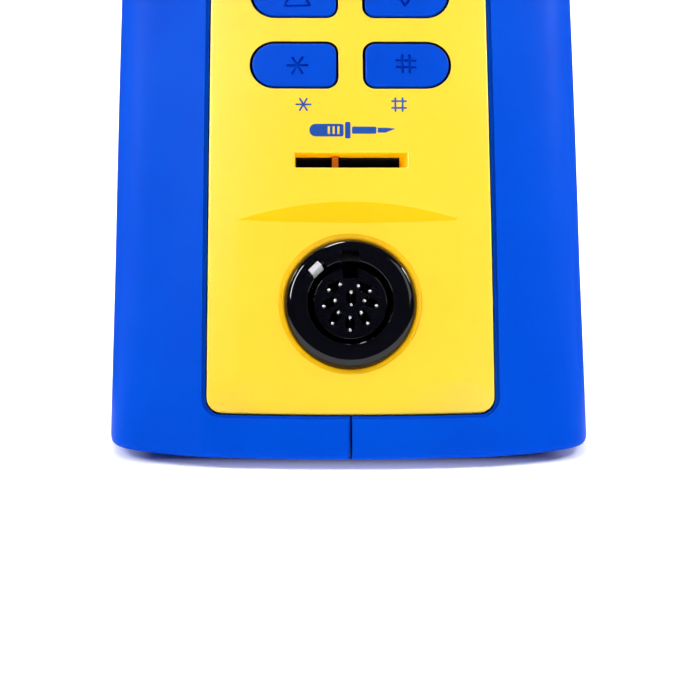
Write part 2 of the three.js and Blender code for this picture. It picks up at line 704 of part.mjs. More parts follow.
function buildRearPlate() {
  const width = 2 * PLATE_HALF;
  const tall = PLATE_TOP - PLATE_FOOT;
  const fit = 2 * GAP;
  const outline = roundedRect(width, tall, 2, 0, (PLATE_TOP + PLATE_FOOT) / 2);
  let plate = toSolid(frontPrism(outline, PLATE_OUT - PLATE_THICK, PLATE_OUT, 2));
  const [inletWidth, inletHeight] = INLET_BLOCK.map((v) => v + fit);
  plate = plate.subtract(plateSlot(inletWidth, inletHeight, 1, INLET.x, INLET.z, 2));
  const [switchWidth, switchHeight] = SWITCH_BLOCK.map((v) => v + fit);
  plate = plate.subtract(plateSlot(switchWidth, switchHeight, 0.5, SWITCH.x, SWITCH.z, 1));
  plate = plate.subtract(plateBore(HOLDER_R + GAP + 0.1, FUSE, 20));
  plate = plate.subtract(plateBore(JACK_R + GAP, JACK, 16));
  const { count, length, width: slotWidth, pitch, z } = PLATE_VENT;
  for (let i = 0; i < count; i += 1) {
    plate = plate.subtract(plateSlot(length, slotWidth, slotWidth / 2, 0, z + i * pitch, 2));
  }
  place('rear_plate', plate, BLACK_MATT);
}

// Six-sided cavity outline of a three-pin appliance inlet.
function inletShape(width, height, cut) {
  const w = width / 2;
  const h = height / 2;
  return polygon([
    [INLET.x - w, INLET.z - h], [INLET.x + w, INLET.z - h], [INLET.x + w, INLET.z + h - cut],
    [INLET.x + w - cut, INLET.z + h], [INLET.x - w + cut, INLET.z + h], [INLET.x - w, INLET.z + h - cut],
  ]);
}

const INLET_FACE = PLATE_OUT + GAP + 2;
const INLET_DEPTH = 17.5;      // cavity of the inlet
const BLADE_TAIL = 27;         // blade ends, behind the inlet's face
const BLADES = [
  { name: 'live', dx: -7, dz: -2, tip: 4 },
  { name: 'earth', dx: 0, dz: 2, tip: 2.5 },
  { name: 'neutral', dx: 7, dz: -2, tip: 4 },
];

function buildInlet() {
  const flange = roundedRect(31, 24, 2, INLET.x, INLET.z);
  let body = toSolid(frontPrism(flange, PLATE_OUT + GAP, INLET_FACE, 3));
  const block = roundedRect(...INLET_BLOCK, 1, INLET.x, INLET.z);
  body = body.add(toSolid(frontPrism(block, INLET_FACE - 21, INLET_FACE - 1, 2)));
  const cavity = frontPrism(inletShape(24, 16.4, 4), INLET_FACE - INLET_DEPTH, INLET_FACE + 1);
  body = body.subtract(toSolid(cavity));
  for (const { name, dx, dz, tip } of BLADES) {
    const x = INLET.x + dx;
    const z = INLET.z + dz;
    const slot = [x - 1 - GAP, x + 1 + GAP, INLET_FACE - 30, INLET_FACE - 17, z - 2 - GAP, z + 2 + GAP];
    body = body.subtract(boxSolid(...slot));
    const blade = box(x - 1, x + 1, INLET_FACE - BLADE_TAIL, INLET_FACE - tip, z - 2, z + 2);
    place(`inlet_blade_${name}`, blade, NICKEL);
  }
  place('inlet_body', body, BLACK_MATT);
}

const SWITCH_FACE = PLATE_OUT + GAP + 1.8;
const ROCKER_HALF = 5.2;       // half width of the rocker

function buildSwitch() {
  const { x, z } = SWITCH;
  const [width, height] = SWITCH_BLOCK.map((v) => v / 2);
  const bezel = roundedRect(15.4, 22, 0.8, x, z);
  let frame = toSolid(frontPrism(bezel, PLATE_OUT + GAP, SWITCH_FACE, 2));
  const block = [x - width, x + width, SWITCH_FACE - 16, SWITCH_FACE - 1, z - height, z + height];
  frame = frame.add(boxSolid(...block));
  const wellHalf = ROCKER_HALF + GAP;
  const well = [x - wellHalf, x + wellHalf, SWITCH_FACE - 10, SWITCH_FACE + 1, z - 9.15, z + 9.15];
  place('switch_frame', frame.subtract(boxSolid(...well)), BLACK_MATT);

  const profile = [[5, -8], [3.9, 0], [5, 8], [-0.5, 7.4], [-3.5, 2.5], [-3.5, -2.5], [-0.5, -7.4]];
  const shape = sidePrism(polygon(profile), -ROCKER_HALF, ROCKER_HALF);
  const rocker = place('switch_rocker', shape, BLACK);
  rocker.rotation.x = -SWITCH_SWING / 2;
  rocker.position.set(x, SWITCH_PIVOT_Y, z);
}

const CAP_R = 7.2;             // knob of the fuse carrier
const CARRIER_R = 5.2;

function buildFuse() {
  const group = new THREE.Group();
  group.position.set(FUSE.x, 0, FUSE.z);
  station.add(group);
  const lip = PLATE_OUT + GAP;
  const face = lip + 1.6;
  const bore = CARRIER_R + 0.4;
  const holder = [[0, 34], [HOLDER_R, 34], [HOLDER_R, lip], [8.6, lip], [8.6, face]];
  holder.push([bore, face], [bore, 36], [0, 36]);
  place('fuse_holder', turnedY(holder, 20), BLACK_MATT, group);

  const knob = DEPTH / 2;
  const near = face + GAP;
  const carrier = [[0, 59.2], [3, 59.2], [3, 55], [CARRIER_R, 55], [CARRIER_R, near], [CAP_R, near]];
  carrier.push([CAP_R, knob - 0.8], [CAP_R - 0.8, knob], [0, knob]);
  const slot = boxSolid(-8, 8, knob - 1, knob + 1, -0.7, 0.7);
  place('fuse_cap', toSolid(turnedY(carrier, 20)).subtract(slot), BLACK, group);
  place('fuse', barY(2.6, 38.9, 58.9, 0, 0, 12), GLASS, group);
}

function buildJack() {
  const group = new THREE.Group();
  group.position.set(JACK.x, 0, JACK.z);
  station.add(group);
  const lip = PLATE_OUT + GAP;
  const face = lip + 1.8;
  const bore = 1.9;
  const profile = [[0, 46], [JACK_R, 46], [JACK_R, lip], [5, lip], [5, face - 0.6], [3, face]];
  profile.push([bore, face], [bore, 48], [0, 48]);
  place('holder_jack', turnedY(profile, 18), BLACK, group);
}

// ---------------------------------------------------------------- inside pieces

function buildChassis() {
  const outline = roundedRect(66, 92, 3, 0, 6.5);
  let plate = toSolid(topPrism(outline, CHASSIS_Z, CHASSIS_Z + CHASSIS_THICK, 2));
  for (const [x, y] of SCREW_PLACES) {
    plate = plate.subtract(toSolid(barZ(SCREW_HOLE_R, CHASSIS_Z - 1, CHASSIS_Z + 3, x, y, 8)));
  }
  place('chassis_plate', plate, STEEL);
}

const CORE_WIDTH = 57;         // transformer core, a stack of E and I sheets
const CORE_HEIGHT = 47.5;
const CORE_LEG = CORE_WIDTH / 3;
const CORE_Y = [-14, 22];
const WINDING_DEPTH = 52;

function buildTransformer() {
  const foot = CHASSIS_Z + CHASSIS_THICK + GAP;
  const edge = CORE_WIDTH / 2;
  const low = foot + CORE_LEG / 2;
  const high = foot + CORE_HEIGHT - CORE_LEG / 2;
  const inner = CORE_LEG / 2;
  const outer = edge - CORE_LEG / 2;
  let core = boxSolid(-edge, edge, ...CORE_Y, foot, foot + CORE_HEIGHT);
  core = core.subtract(boxSolid(-outer, -inner, CORE_Y[0] - 6, CORE_Y[1] + 8, low, high));
  core = core.subtract(boxSolid(inner, outer, CORE_Y[0] - 6, CORE_Y[1] + 8, low, high));
  place('transformer_core', core, CORE_STEEL);

  const plan = roundedRect(2 * (outer - GAP), WINDING_DEPTH, 4, 0, (CORE_Y[0] + CORE_Y[1]) / 2);
  const winding = toSolid(topPrism(plan, low + GAP, high - GAP, 3));
  const leg = inner + GAP;
  const tunnel = boxSolid(-leg, leg, CORE_Y[0] - GAP, CORE_Y[1] + GAP, low - 1, high + 1);
  place('transformer_winding', winding.subtract(tunnel), TAPE);
}

// Plan of the heat sink: a back wall with three fins.
function sinkOutline() {
  const [left, right, back, wall, tips] = [4, 28, 30, 32.5, 44];
  const fin = 2.5;
  const middle = [15, 17.5];
  return polygon([
    [left, back], [right, back], [right, tips], [right - fin, tips], [right - fin, wall],
    [middle[1], wall], [middle[1], tips], [middle[0], tips], [middle[0], wall],
    [left + fin, wall], [left + fin, tips], [left, tips],
  ]);
}

function buildMainBoard() {
  const top = BOARD_Z + BOARD_THICK + GAP;
  const outline = roundedRect(72, 62, 1.5, 0, 18);
  place('main_board', topPrism(outline, BOARD_Z, BOARD_Z + BOARD_THICK, 2), BOARD);
  place('capacitor', barZ(9, top, top + 25, -17, 36, 16), BLACK_MATT);
  place('buzzer', barZ(6, top, top + 8, -18, 2, 16), BLACK);
  place('microcontroller', box(6, 18, -4, 8, top, top + 2), BLACK_MATT);
  place('heat_sink', topPrism(sinkOutline(), top, top + 22), ALUMINIUM);
  place('triac', box(11, 21, 25, 30 - GAP, top + 4, top + 19), BLACK_MATT);
}

// ---------------------------------------------------------------- feet and screws

function buildFeet() {
  FOOT_PLACES.forEach(([x, y], i) => {
    place(`foot_${i + 1}`, barZ(FOOT_R, 0, FOOT_TALL, x, y, 16), RUBBER);
  });
}

function buildScrews() {
  const seat = SCREW_SINK_TOP - GAP;
  SCREW_PLACES.forEach(([x, y], i) => {
    const head = toSolid(barZ(3.1, seat - 1.4, seat, x, y, 10));
    const shank = toSolid(barZ(SCREW_HOLE_R - 0.4, seat - 0.1, 10, x, y, 8));
    const slot = boxSolid(x - 4, x + 4, y - 0.45, y + 0.45, 1, 2.4);
    place(`case_screw_${i + 1}`, head.add(shank).subtract(slot), STEEL);
  });
}

buildShells();
buildFrontPanel();
buildDisplay();
buildButtons();
buildControlBoard();
buildCardReader();
buildSocket();
buildRearPlate();
buildInlet();
buildSwitch();
buildFuse();
buildJack();
buildChassis();
buildTransformer();
buildMainBoard();
buildFeet();
buildScrews();

export default station;
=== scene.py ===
"""Looks of the soldering iron station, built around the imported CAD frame.

Millimetres in the shape functions, metres in Blender. +Z is up and the front faces -Y.
"""

import math

import bmesh
import bpy
import numpy as np
from mathutils import Matrix, Vector
from mathutils.geometry import delaunay_2d_cdt


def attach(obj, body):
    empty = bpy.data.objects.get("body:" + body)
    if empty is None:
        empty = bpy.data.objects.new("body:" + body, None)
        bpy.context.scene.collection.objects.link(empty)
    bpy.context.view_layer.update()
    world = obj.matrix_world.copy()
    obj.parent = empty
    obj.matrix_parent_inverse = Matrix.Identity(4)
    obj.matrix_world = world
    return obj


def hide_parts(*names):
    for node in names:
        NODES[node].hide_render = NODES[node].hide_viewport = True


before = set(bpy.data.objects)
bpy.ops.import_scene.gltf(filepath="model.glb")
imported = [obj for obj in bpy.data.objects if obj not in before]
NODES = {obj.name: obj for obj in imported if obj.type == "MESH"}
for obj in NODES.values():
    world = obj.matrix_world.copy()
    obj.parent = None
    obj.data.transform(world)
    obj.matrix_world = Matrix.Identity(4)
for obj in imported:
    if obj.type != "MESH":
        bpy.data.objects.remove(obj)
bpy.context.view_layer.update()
MM = 0.001

# -------- camera

CAMERA_AT = Vector((-6.67, -372.29, 69.10)) * MM
PAN, DIP, ROLL = (math.radians(a) for a in (1.2, 9.2, 0.14))
LENS, SENSOR = 101.39, 36
NEAR, FAR = 0.01, 50


def in_scene(name, data):
    made = bpy.data.objects.new(name, data)
    bpy.context.scene.collection.objects.link(made)
    return made


def make_camera():
    forward = Vector((math.sin(PAN) * math.cos(DIP), math.cos(PAN) * math.cos(DIP), -math.sin(DIP)))
    level = forward.cross(Vector((0, 0, 1))).normalized()
    rise = level.cross(forward)
    right = level * math.cos(ROLL) + rise * math.sin(ROLL)
    up = rise * math.cos(ROLL) - level * math.sin(ROLL)
    data = bpy.data.cameras.new("camera")
    data.lens = LENS
    data.sensor_width = SENSOR
    data.clip_start, data.clip_end = NEAR, FAR
    camera = in_scene("camera", data)
    turn = Matrix((right, up, -forward)).transposed().to_4x4()
    camera.matrix_world = Matrix.Translation(CAMERA_AT) @ turn
    bpy.context.scene.camera = camera


make_camera()
bpy.context.scene.view_settings.view_transform = "Standard"

# -------- the body's form, in mm

WIDTH, HEIGHT = 80, 130
GAP = 0.3
BASE_Z = 1.5
REAR_Y = 62
FRONT_Y = -65.882
LEAN, LEAN_GROWTH = 0.313, 0.00123
BULGE_R = 140
CREASE_X = 23.6
CORNER = (9.4, 4.2, 7.2, 22)  # the plan corner's curve: first handle out and back, second handle, end
FULLER = (4, 0.8, -0.7, -2)  # what the foot adds to each, since the corner is boxier there
FULLER_UNDER, FULLER_REACH = 30, 28
REAR_CORNER_R = 8
WALL = 3
BOTTOM_R, BOTTOM_FRONT, BOTTOM_SIDE = 1.4, 1.2, 0.15
ROOF_R, ROOF_FRONT, ROOF_REAR = 12, 0.85, 0.65

PANEL_HALF, PANEL_FOOT, PANEL_END, PANEL_R, PANEL_THICK = 23.2, 8.75, 30, 2.2, 2.6
STRIP_WIDTH, STRIP_DEPTH = 0.8, 0.7
PAD_DEPTH, PAD_FOOT, PAD_TOP, PAD_RAMP_TOP = 1.2, 13.6, 38.6, 41.6
FOOT_RECESS = 0.9  # how deep the panel's foot strip ends under the bulged face
MITRE_DROP = 0.6  # fall of the mitre line per mm outward

FEATURE_X = 0.25
SOCKET_Z, SLOT_Z, ROW_LOW_Z, ROW_HIGH_Z, WINDOW_Z = 26, 48.2, 63.5, 75, 94
BUTTON_X, BUTTON_W, BUTTON_H, BUTTON_OUT_R, BUTTON_IN_R = 9.4, 14.8, 8.5, 4.2, 2.1


def front_y(z):
    rise = z - BASE_Z
    return FRONT_Y + LEAN * rise + LEAN_GROWTH * rise * rise


def lean_at(z):
    return np.arctan(LEAN + 2 * LEAN_GROWTH * (z - BASE_Z))


def bulge(x):
    return x * x / (2 * BULGE_R)


def profile_points():
    """The middle line of the case from under the front edge, up the front and over the roof."""
    points = []
    for a in np.radians(np.linspace(0, 90, 10)):
        z = BASE_Z + BOTTOM_R * (1 - math.cos(a))
        curl = BOTTOM_R * (1 - math.sin(a))
        points.append((front_y(z) + curl * BOTTOM_FRONT / math.cos(lean_at(z)), z))
    top = HEIGHT - ROOF_R
    points += [(front_y(z), z) for z in np.linspace(BASE_Z + BOTTOM_R, top, 240)[1:]]
    for a in np.radians(np.linspace(0, 90, 50))[1:]:
        z = top + ROOF_R * math.sin(a)
        curl = ROOF_R * (1 - math.cos(a))
        points.append((front_y(z) + curl * ROOF_FRONT / math.cos(lean_at(z)), z))
    points += [(y, HEIGHT) for y in np.linspace(points[-1][0], REAR_Y, 60)[1:]]
    return np.array(points)


PROFILE = profile_points()
STEPS = np.hypot(*np.diff(PROFILE, axis=0).T)
ALONG = np.concatenate([[0], np.cumsum(STEPS)])
TANGENT = np.gradient(PROFILE, ALONG, axis=0)
TANGENT /= np.linalg.norm(TANGENT, axis=1)[:, None]
ROOF_START = int(np.argmax(PROFILE[:, 1] >= HEIGHT - 1e-6))


def s_of_z(z):
    return np.interp(z, PROFILE[: ROOF_START + 1, 1], ALONG[: ROOF_START + 1])


def s_of_y(y):
    return ALONG[ROOF_START] + (y - PROFILE[ROOF_START, 0])


def z_of_s(s):
    return np.interp(s, ALONG, PROFILE[:, 1])


def on_face(x, s, depth):
    """Points on the case's middle zone: across x, s along the middle line, depth inward. Row frame, mm."""
    x, s, depth = np.broadcast_arrays(*(np.asarray(v, float) for v in (x, s, depth)))
    y, z, ty, tz = (np.interp(s, ALONG, column) for column in (*PROFILE.T, *TANGENT.T))
    y += bulge(x)
    normal = np.stack([x * tz / BULGE_R, -tz, ty], -1)
    normal /= np.linalg.norm(normal, axis=-1)[..., None]
    return np.stack([x, y, z], -1) - depth[..., None] * normal


def face_matrix(z, depth=0.0):
    """The flat frame of a feature on the front: local Y inward, local Z up the face. In mm."""
    lean = float(lean_at(z))
    at = Vector((0, front_y(z) + depth * math.cos(lean), z - depth * math.sin(lean)))
    return Matrix.Translation(at) @ Matrix.Rotation(-lean, 4, "X")


# -------- mesh helpers

BEVEL_OVER = 40  # degrees from which an edge is rounded


def make_object(name, points, faces):
    mesh = bpy.data.meshes.new(name)
    mesh.from_pydata((np.asarray(points, float) * MM).tolist(), [], [list(map(int, f)) for f in faces])
    mesh.validate()
    work = bmesh.new()
    work.from_mesh(mesh)
    bmesh.ops.recalc_face_normals(work, faces=work.faces)
    work.to_mesh(mesh)
    work.free()
    return in_scene(name, mesh)


def moved(points, matrix):
    points = np.asarray(points, float)
    m = np.array(matrix)
    return points @ m[:3, :3].T + m[:3, 3]


def merge_parts(parts):
    """One point and face list out of several."""
    points, faces, start = [], [], 0
    for some_points, some_faces in parts:
        points.append(np.asarray(some_points, float))
        faces += [[i + start for i in f] for f in some_faces]
        start += len(some_points)
    return np.concatenate(points), faces


def placed(shape, matrix):
    """A point and face list moved by a matrix."""
    return moved(shape[0], matrix), shape[1]


def boolean(obj, tool, operation="DIFFERENCE"):
    """Cut, join or meet an object with a tool, which is an object or a point and face list."""
    if not isinstance(tool, bpy.types.Object):
        tool = make_object("tool", *tool)
    modifier = obj.modifiers.new("cut", "BOOLEAN")
    modifier.operation = operation
    modifier.object = tool
    modifier.solver = "MANIFOLD"
    graph = bpy.context.evaluated_depsgraph_get()
    result = bpy.data.meshes.new_from_object(obj.evaluated_get(graph))
    obj.modifiers.clear()
    old = obj.data
    obj.data = result
    result.name = obj.name
    bpy.data.meshes.remove(old)
    bpy.data.objects.remove(tool)
    if not obj.data.polygons:
        raise RuntimeError(f"{obj.name}: nothing left after a {operation.lower()}")
    return obj


def paint(obj, finish):
    obj.data.materials.clear()
    obj.data.materials.append(FINISH[finish])


def hand_over(obj, node, slot, body_name="station", angle=30.0, edge=0.0, segments=3):
    """Round the sharp edges, shade, tie the piece to its body, hide the CAD node it stands for, and paint its
    finish.
    """
    if edge:
        bevel = obj.modifiers.new("edges", "BEVEL")
        bevel.width = edge * MM
        bevel.segments = segments
        bevel.limit_method = "ANGLE"
        bevel.angle_limit = math.radians(BEVEL_OVER)
    obj.data.shade_smooth()
    obj.data.set_sharp_from_angle(angle=math.radians(angle))
    normals = obj.modifiers.new("normals", "WEIGHTED_NORMAL")
    normals.keep_sharp = True
    normals.weight = 80
    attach(obj, body_name)
    if node:
        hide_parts(node)
    paint(obj, slot)


def more_finishes(obj, kinds, *finishes):
    """Further finishes for some of a piece's faces. kinds holds 0 for its own finish, then 1, 2 and on."""
    for finish in finishes:
        obj.data.materials.append(FINISH[finish])
    obj.data.polygons.foreach_set("material_index", kinds.astype(np.int32))


def centres_of(obj):
    """The middle of each face, in mm."""
    return np.array([tuple(face.center) for face in obj.data.polygons]) / MM


def inside(points, loop):
    """Which points lie inside a closed loop, both 2-D."""
    x, y = points[:, 0][:, None], points[:, 1][:, None]
    a, b = loop, np.roll(loop, -1, axis=0)
    crosses = (a[:, 1] > y) != (b[:, 1] > y)
    with np.errstate(divide="ignore", invalid="ignore"):
        at = (b[:, 0] - a[:, 0]) * (y - a[:, 1]) / (b[:, 1] - a[:, 1]) + a[:, 0]
    return (crosses & (x < at)).sum(1) % 2 == 1


def clear_of(points, loop, gap):
    """Which points are at least a gap from a loop's edges."""
    a, b = loop, np.roll(loop, -1, axis=0)
    d = b - a
    t = np.einsum("pij,ij->pi", points[:, None] - a, d) / np.maximum((d * d).sum(1), 1e-12)
    near = a + np.clip(t, 0, 1)[..., None] * d
    return np.linalg.norm(points[:, None] - near, axis=2).min(1) > gap


def fill(outer, holes, spacing, lines=()):
    """Triangles over a region with holes: 2-D points, the loops' own points first, and triangles."""
    fixed = [np.asarray(p, float) for p in (outer, *holes)]
    lines = [np.asarray(line, float) for line in lines]
    edges, start = [], 0
    for loop in fixed:
        n = len(loop)
        edges += [(start + i, start + (i + 1) % n) for i in range(n)]
        start += n
    boundary = start
    for line in lines:
        edges += [(start + i, start + i + 1) for i in range(len(line) - 1)]
        start += len(line)
    points = np.concatenate([*fixed, *lines])

    def within(places):
        keep = inside(places, fixed[0])
        for loop in fixed[1:]:
            keep &= ~inside(places, loop)
        return keep

    if spacing:
        low, high = fixed[0].min(0), fixed[0].max(0)
        xs = np.arange(low[0] + spacing / 2, high[0], spacing)
        ys = np.arange(low[1] + spacing / 2, high[1], spacing * 0.87)
        grid = np.array([(x + (j % 2) * spacing / 2, y) for j, y in enumerate(ys) for x in xs])
        keep = within(grid)
        for loop in fixed:
            keep &= clear_of(grid, loop, spacing * 0.45)
        for line in lines:
            keep &= clear_of(grid, np.concatenate([line, line[::-1][1:-1]]), spacing * 0.3)
        points = np.concatenate([points, grid[keep]])
    made = delaunay_2d_cdt([Vector(p) for p in points.tolist()], edges, [], 0, 1e-6)
    flat = np.array([tuple(v) for v in made[0]])
    source = [o[0] if o else -1 for o in made[3]]
    triangles = np.array([f for f in made[2] if len(f) == 3])
    triangles = triangles[within(flat[triangles].mean(1))]
    renumber = {}
    for new, old in enumerate(source):
        if 0 <= old < boundary:
            renumber[new] = old
    extra = []
    for new in sorted(set(triangles.ravel().tolist())):
        if new not in renumber:
            renumber[new] = boundary + len(extra)
            extra.append(flat[new])
    kept = np.concatenate([points[:boundary], np.array(extra).reshape(-1, 2)])
    return kept, np.array([[renumber[i] for i in t] for t in triangles.tolist()])


def plate(outer, holes=(), spacing=1.2, lines=(), recess=None):
    """A closed plate in the face's own coordinates. outer and each hole are lists of
    (loop, depth, share of the recess) from the shown side to the far side."""
    stacks = [outer, *holes]

    def lay(loop, depth, share):
        loop = np.asarray(loop, float)
        sunk = recess(loop[:, 0], loop[:, 1]) * share if recess else 0.0
        return on_face(loop[:, 0], loop[:, 1], depth + sunk)

    points, faces, start = [], [], 0
    starts = []
    for stack in stacks:
        count = len(stack[0][0])
        rows = [lay(*level) for level in stack]
        starts.append((start, start + count * (len(stack) - 1)))
        for k in range(len(stack) - 1):
            a = start + k * count
            for i in range(count):
                j = (i + 1) % count
                faces.append([a + i, a + count + i, a + count + j, a + j])
        points += rows
        start += count * len(stack)
    for side in (0, -1):
        loops = [stack[side][0] for stack in stacks]
        flat, triangles = fill(loops[0], loops[1:], spacing, lines if side == 0 else ())
        index = []
        for stack, first in zip(stacks, starts):
            index += list(range(first[side], first[side] + len(stack[0][0])))
        boundary = len(index)
        extra = flat[boundary:]
        depth, share = outer[side][1], outer[side][2]
        if len(extra):
            points.append(lay(extra, depth, share))
            index += list(range(start, start + len(extra)))
            start += len(extra)
        for t in triangles:
            faces.append([index[i] for i in (t if side == 0 else t[::-1])])
    return np.concatenate(points), faces


def edge_stack(loop_of, radius, depth, far, share=1.0, steps=5, outward=False):
    """Levels of a plate's edge rounded at the shown side. loop_of(grow) gives the outline. An
    outward rounding is the lip of a hole."""
    levels = []
    for a in np.linspace(0, math.pi / 2, steps):
        back = radius * (1 - math.sin(a))
        levels.append((loop_of(back if outward else -back), depth + radius * (1 - math.cos(a)), share))
    levels.append((loop_of(0), far, 0))
    return levels


def arc(cx, cy, r, a0, a1, n):
    t = np.radians(np.linspace(a0, a1, n))
    return np.stack([cx + r * np.cos(t), cy + r * np.sin(t)], 1)


def straight(a, b, n):
    """Points between two ends, leaving the ends out."""
    t = np.linspace(0, 1, n + 2)[1:-1, None]
    return np.asarray(a, float) * (1 - t) + np.asarray(b, float) * t


def rounded(x0, x1, y0, y1, radii, n=8, along=(1, 1)):
    """A rounded rectangle, counter-clockwise. radii: lower right, upper right, upper left, lower left, or
    one for all. along is how many points lie on each upright side and on each level side."""
    lr, ur, ul, ll = np.broadcast_to(radii, 4).tolist()
    corners = [
        arc(x1 - lr, y0 + lr, lr, -90, 0, n), arc(x1 - ur, y1 - ur, ur, 0, 90, n),
        arc(x0 + ul, y1 - ul, ul, 90, 180, n), arc(x0 + ll, y0 + ll, ll, 180, 270, n),
    ]
    parts = []
    for i, corner in enumerate(corners):
        parts.append(corner)
        parts.append(straight(corner[-1], corners[(i + 1) % 4][0], along[i % 2]))
    return np.concatenate(parts)


def circle(cx, cy, r, n=96):
    return arc(cx, cy, r, 0, 360, n + 1)[:-1]


def stadium(cx, cz, length, width, angle, n=9):
    half = (length - width) / 2
    loop = np.concatenate([arc(half, 0, width / 2, -90, 90, n), arc(-half, 0, width / 2, 90, 270, n)])
    a = math.radians(angle)
    turn = np.array([(math.cos(a), math.sin(a)), (-math.sin(a), math.cos(a))])
    return loop @ turn + (cx, cz)


def local_loop(loop, z):
    """A loop drawn about a height on the face, in x and s."""
    loop = np.asarray(loop, float).copy()
    loop[:, 1] += s_of_z(z)
    return loop


# -------- lathes and prisms


def lathe(profile, sides=96, axis="Y"):
    """A closed turned solid from (radius, along) pairs running from the axis to the axis, or a ring
    whose first and last pairs are the same."""
    profile = np.asarray(profile, float)
    ring = np.allclose(profile[0], profile[-1])
    if ring:
        profile = profile[:-1]
    turn = np.linspace(0, 2 * math.pi, sides, endpoint=False)
    points, rows = [], []
    for r, along in profile:
        if r < 1e-9:
            rows.append([len(points)] * sides)
            points.append((0, along, 0))
            continue
        rows.append(list(range(len(points), len(points) + sides)))
        points += [(r * math.cos(t), along, r * math.sin(t)) for t in turn]
    faces = []
    pairs = list(zip(rows, rows[1:])) + ([(rows[-1], rows[0])] if ring else [])
    for a, b in pairs:
        for i in range(sides):
            j = (i + 1) % sides
            face = [a[i], b[i], b[j], a[j]]
            face = [v for k, v in enumerate(face) if v not in face[:k]]
            if len(face) > 2:
                faces.append(face)
    points = np.array(points)
    if axis == "Z":
        points = points[:, [0, 2, 1]]
    return points, faces


def shifted(shape, x=0, y=0, z=0):
    return shape[0] + (x, y, z), shape[1]


def prism(loop, y0, y1, holes=()):
    """A 2-D loop in x and z with holes in it, pushed along Y, with triangulated ends."""
    loops = [np.asarray(one, float) for one in (loop, *holes)]
    flat, triangles = fill(loops[0], loops[1:], 0)
    flat = flat[:sum(map(len, loops))]
    n = len(flat)
    points = np.concatenate([np.insert(flat, 1, y, axis=1) for y in (y0, y1)])
    faces, start = [], 0
    for one in loops:
        count = len(one)
        for i in range(count):
            a, b = start + i, start + (i + 1) % count
            faces.append([a, a + n, b + n, b])
        start += count
    faces += [list(t) for t in triangles] + [[i + n for i in t[::-1]] for t in triangles]
    return points, faces


def upright(shape):
    """The same piece with its prism direction turned from Y to Z, drawn in x and y."""
    return shape[0][:, [0, 2, 1]], shape[1]


def block(x0, x1, y0, y1, z0, z1):
    return prism([(x0, z0), (x1, z0), (x1, z1), (x0, z1)], y0, y1)


# -------- case body


def plan_half(front, rear, curl, full):
    """Half of the case's outline seen from above, from the front's middle round to the rear's."""
    half = WIDTH / 2 - curl
    share = (half - CREASE_X) / (WIDTH / 2 - CREASE_X)
    rear_r = REAR_CORNER_R * half / (WIDTH / 2)
    x = np.linspace(0, CREASE_X, 17)
    face = np.stack([x, front + bulge(x)], 1)
    edge_y = front + bulge(CREASE_X)
    out, down, low, end = ((v + full * more) * share for v, more in zip(CORNER, FULLER))
    start = np.array((CREASE_X, edge_y))
    p = [start, start + (out, down), np.array((half, edge_y + low)), np.array((half, edge_y + end))]
    t = np.linspace(0, 1, 31)[1:, None]
    corner = (1 - t) ** 3 * p[0] + 3 * (1 - t) ** 2 * t * p[1] + 3 * (1 - t) * t**2 * p[2] + t**3 * p[3]
    side = straight(corner[-1], (half, rear - rear_r), 6)
    turn = arc(half - rear_r, rear - rear_r, rear_r, 0, 90, 14)
    back = straight(turn[-1], (0, rear), 6)
    return np.concatenate([face, corner, side, turn, back, [(0, rear)]])


def body_ring(z, inset, curl, front_curl, rear_curl):
    """The whole outline at one height, moved in by an even wall."""
    slant = 1 / math.cos(lean_at(z))
    full = min(max((FULLER_UNDER - z) / FULLER_REACH, 0), 1)
    half = plan_half(front_y(z) + front_curl * slant, REAR_Y - rear_curl, curl, full)
    mirrored = half[1:-1][::-1] * (-1, 1)
    ring = np.concatenate([half, mirrored])
    before, after = np.roll(ring, 1, 0), np.roll(ring, -1, 0)

    def normals(d):
        n = np.stack([d[:, 1], -d[:, 0]], 1)
        return n / np.linalg.norm(n, axis=1)[:, None]

    n1 = normals(ring - before)
    middle = n1 + normals(after - ring)
    middle /= np.linalg.norm(middle, axis=1)[:, None]
    stretch = np.where(middle[:, 1] < 0, 1 + (slant - 1) * middle[:, 1] ** 2, 1)
    shift = inset * stretch / (middle * n1).sum(1)
    ring = ring - middle * shift[:, None]
    return np.column_stack([ring, np.full(len(ring), z)])


def body(inset):
    """The case as a closed solid, its skin moved in by an inset."""
    rings = []
    low = max(BOTTOM_R - inset, 0)
    for a in np.linspace(0, math.pi / 2, 9) if low else [math.pi / 2]:
        curl = low * (1 - math.sin(a))
        z = BASE_Z + inset + low * (1 - math.cos(a))
        rings.append(body_ring(z, inset, curl * BOTTOM_SIDE, curl * BOTTOM_FRONT, curl))
    top = HEIGHT - ROOF_R
    for z in np.linspace(BASE_Z + max(BOTTOM_R, inset), top, 36)[1:]:
        rings.append(body_ring(z, inset, 0, 0, 0))
    roof = ROOF_R - inset
    for a in np.linspace(0, math.pi / 2, 17)[1:]:
        curl = roof * (1 - math.cos(a))
        rings.append(body_ring(top + roof * math.sin(a), inset, curl, curl * ROOF_FRONT, curl * ROOF_REAR))
    count = len(rings[0])
    faces = []
    for level in range(len(rings) - 1):
        for i in range(count):
            a, b = level * count + i, level * count + (i + 1) % count
            faces.append([a, b, b + count, a + count])
    last = (len(rings) - 1) * count
    for i in range(1, count - 1):
        faces += [[0, i + 1, i], [last, last + i, last + i + 1]]
    return np.concatenate(rings), faces


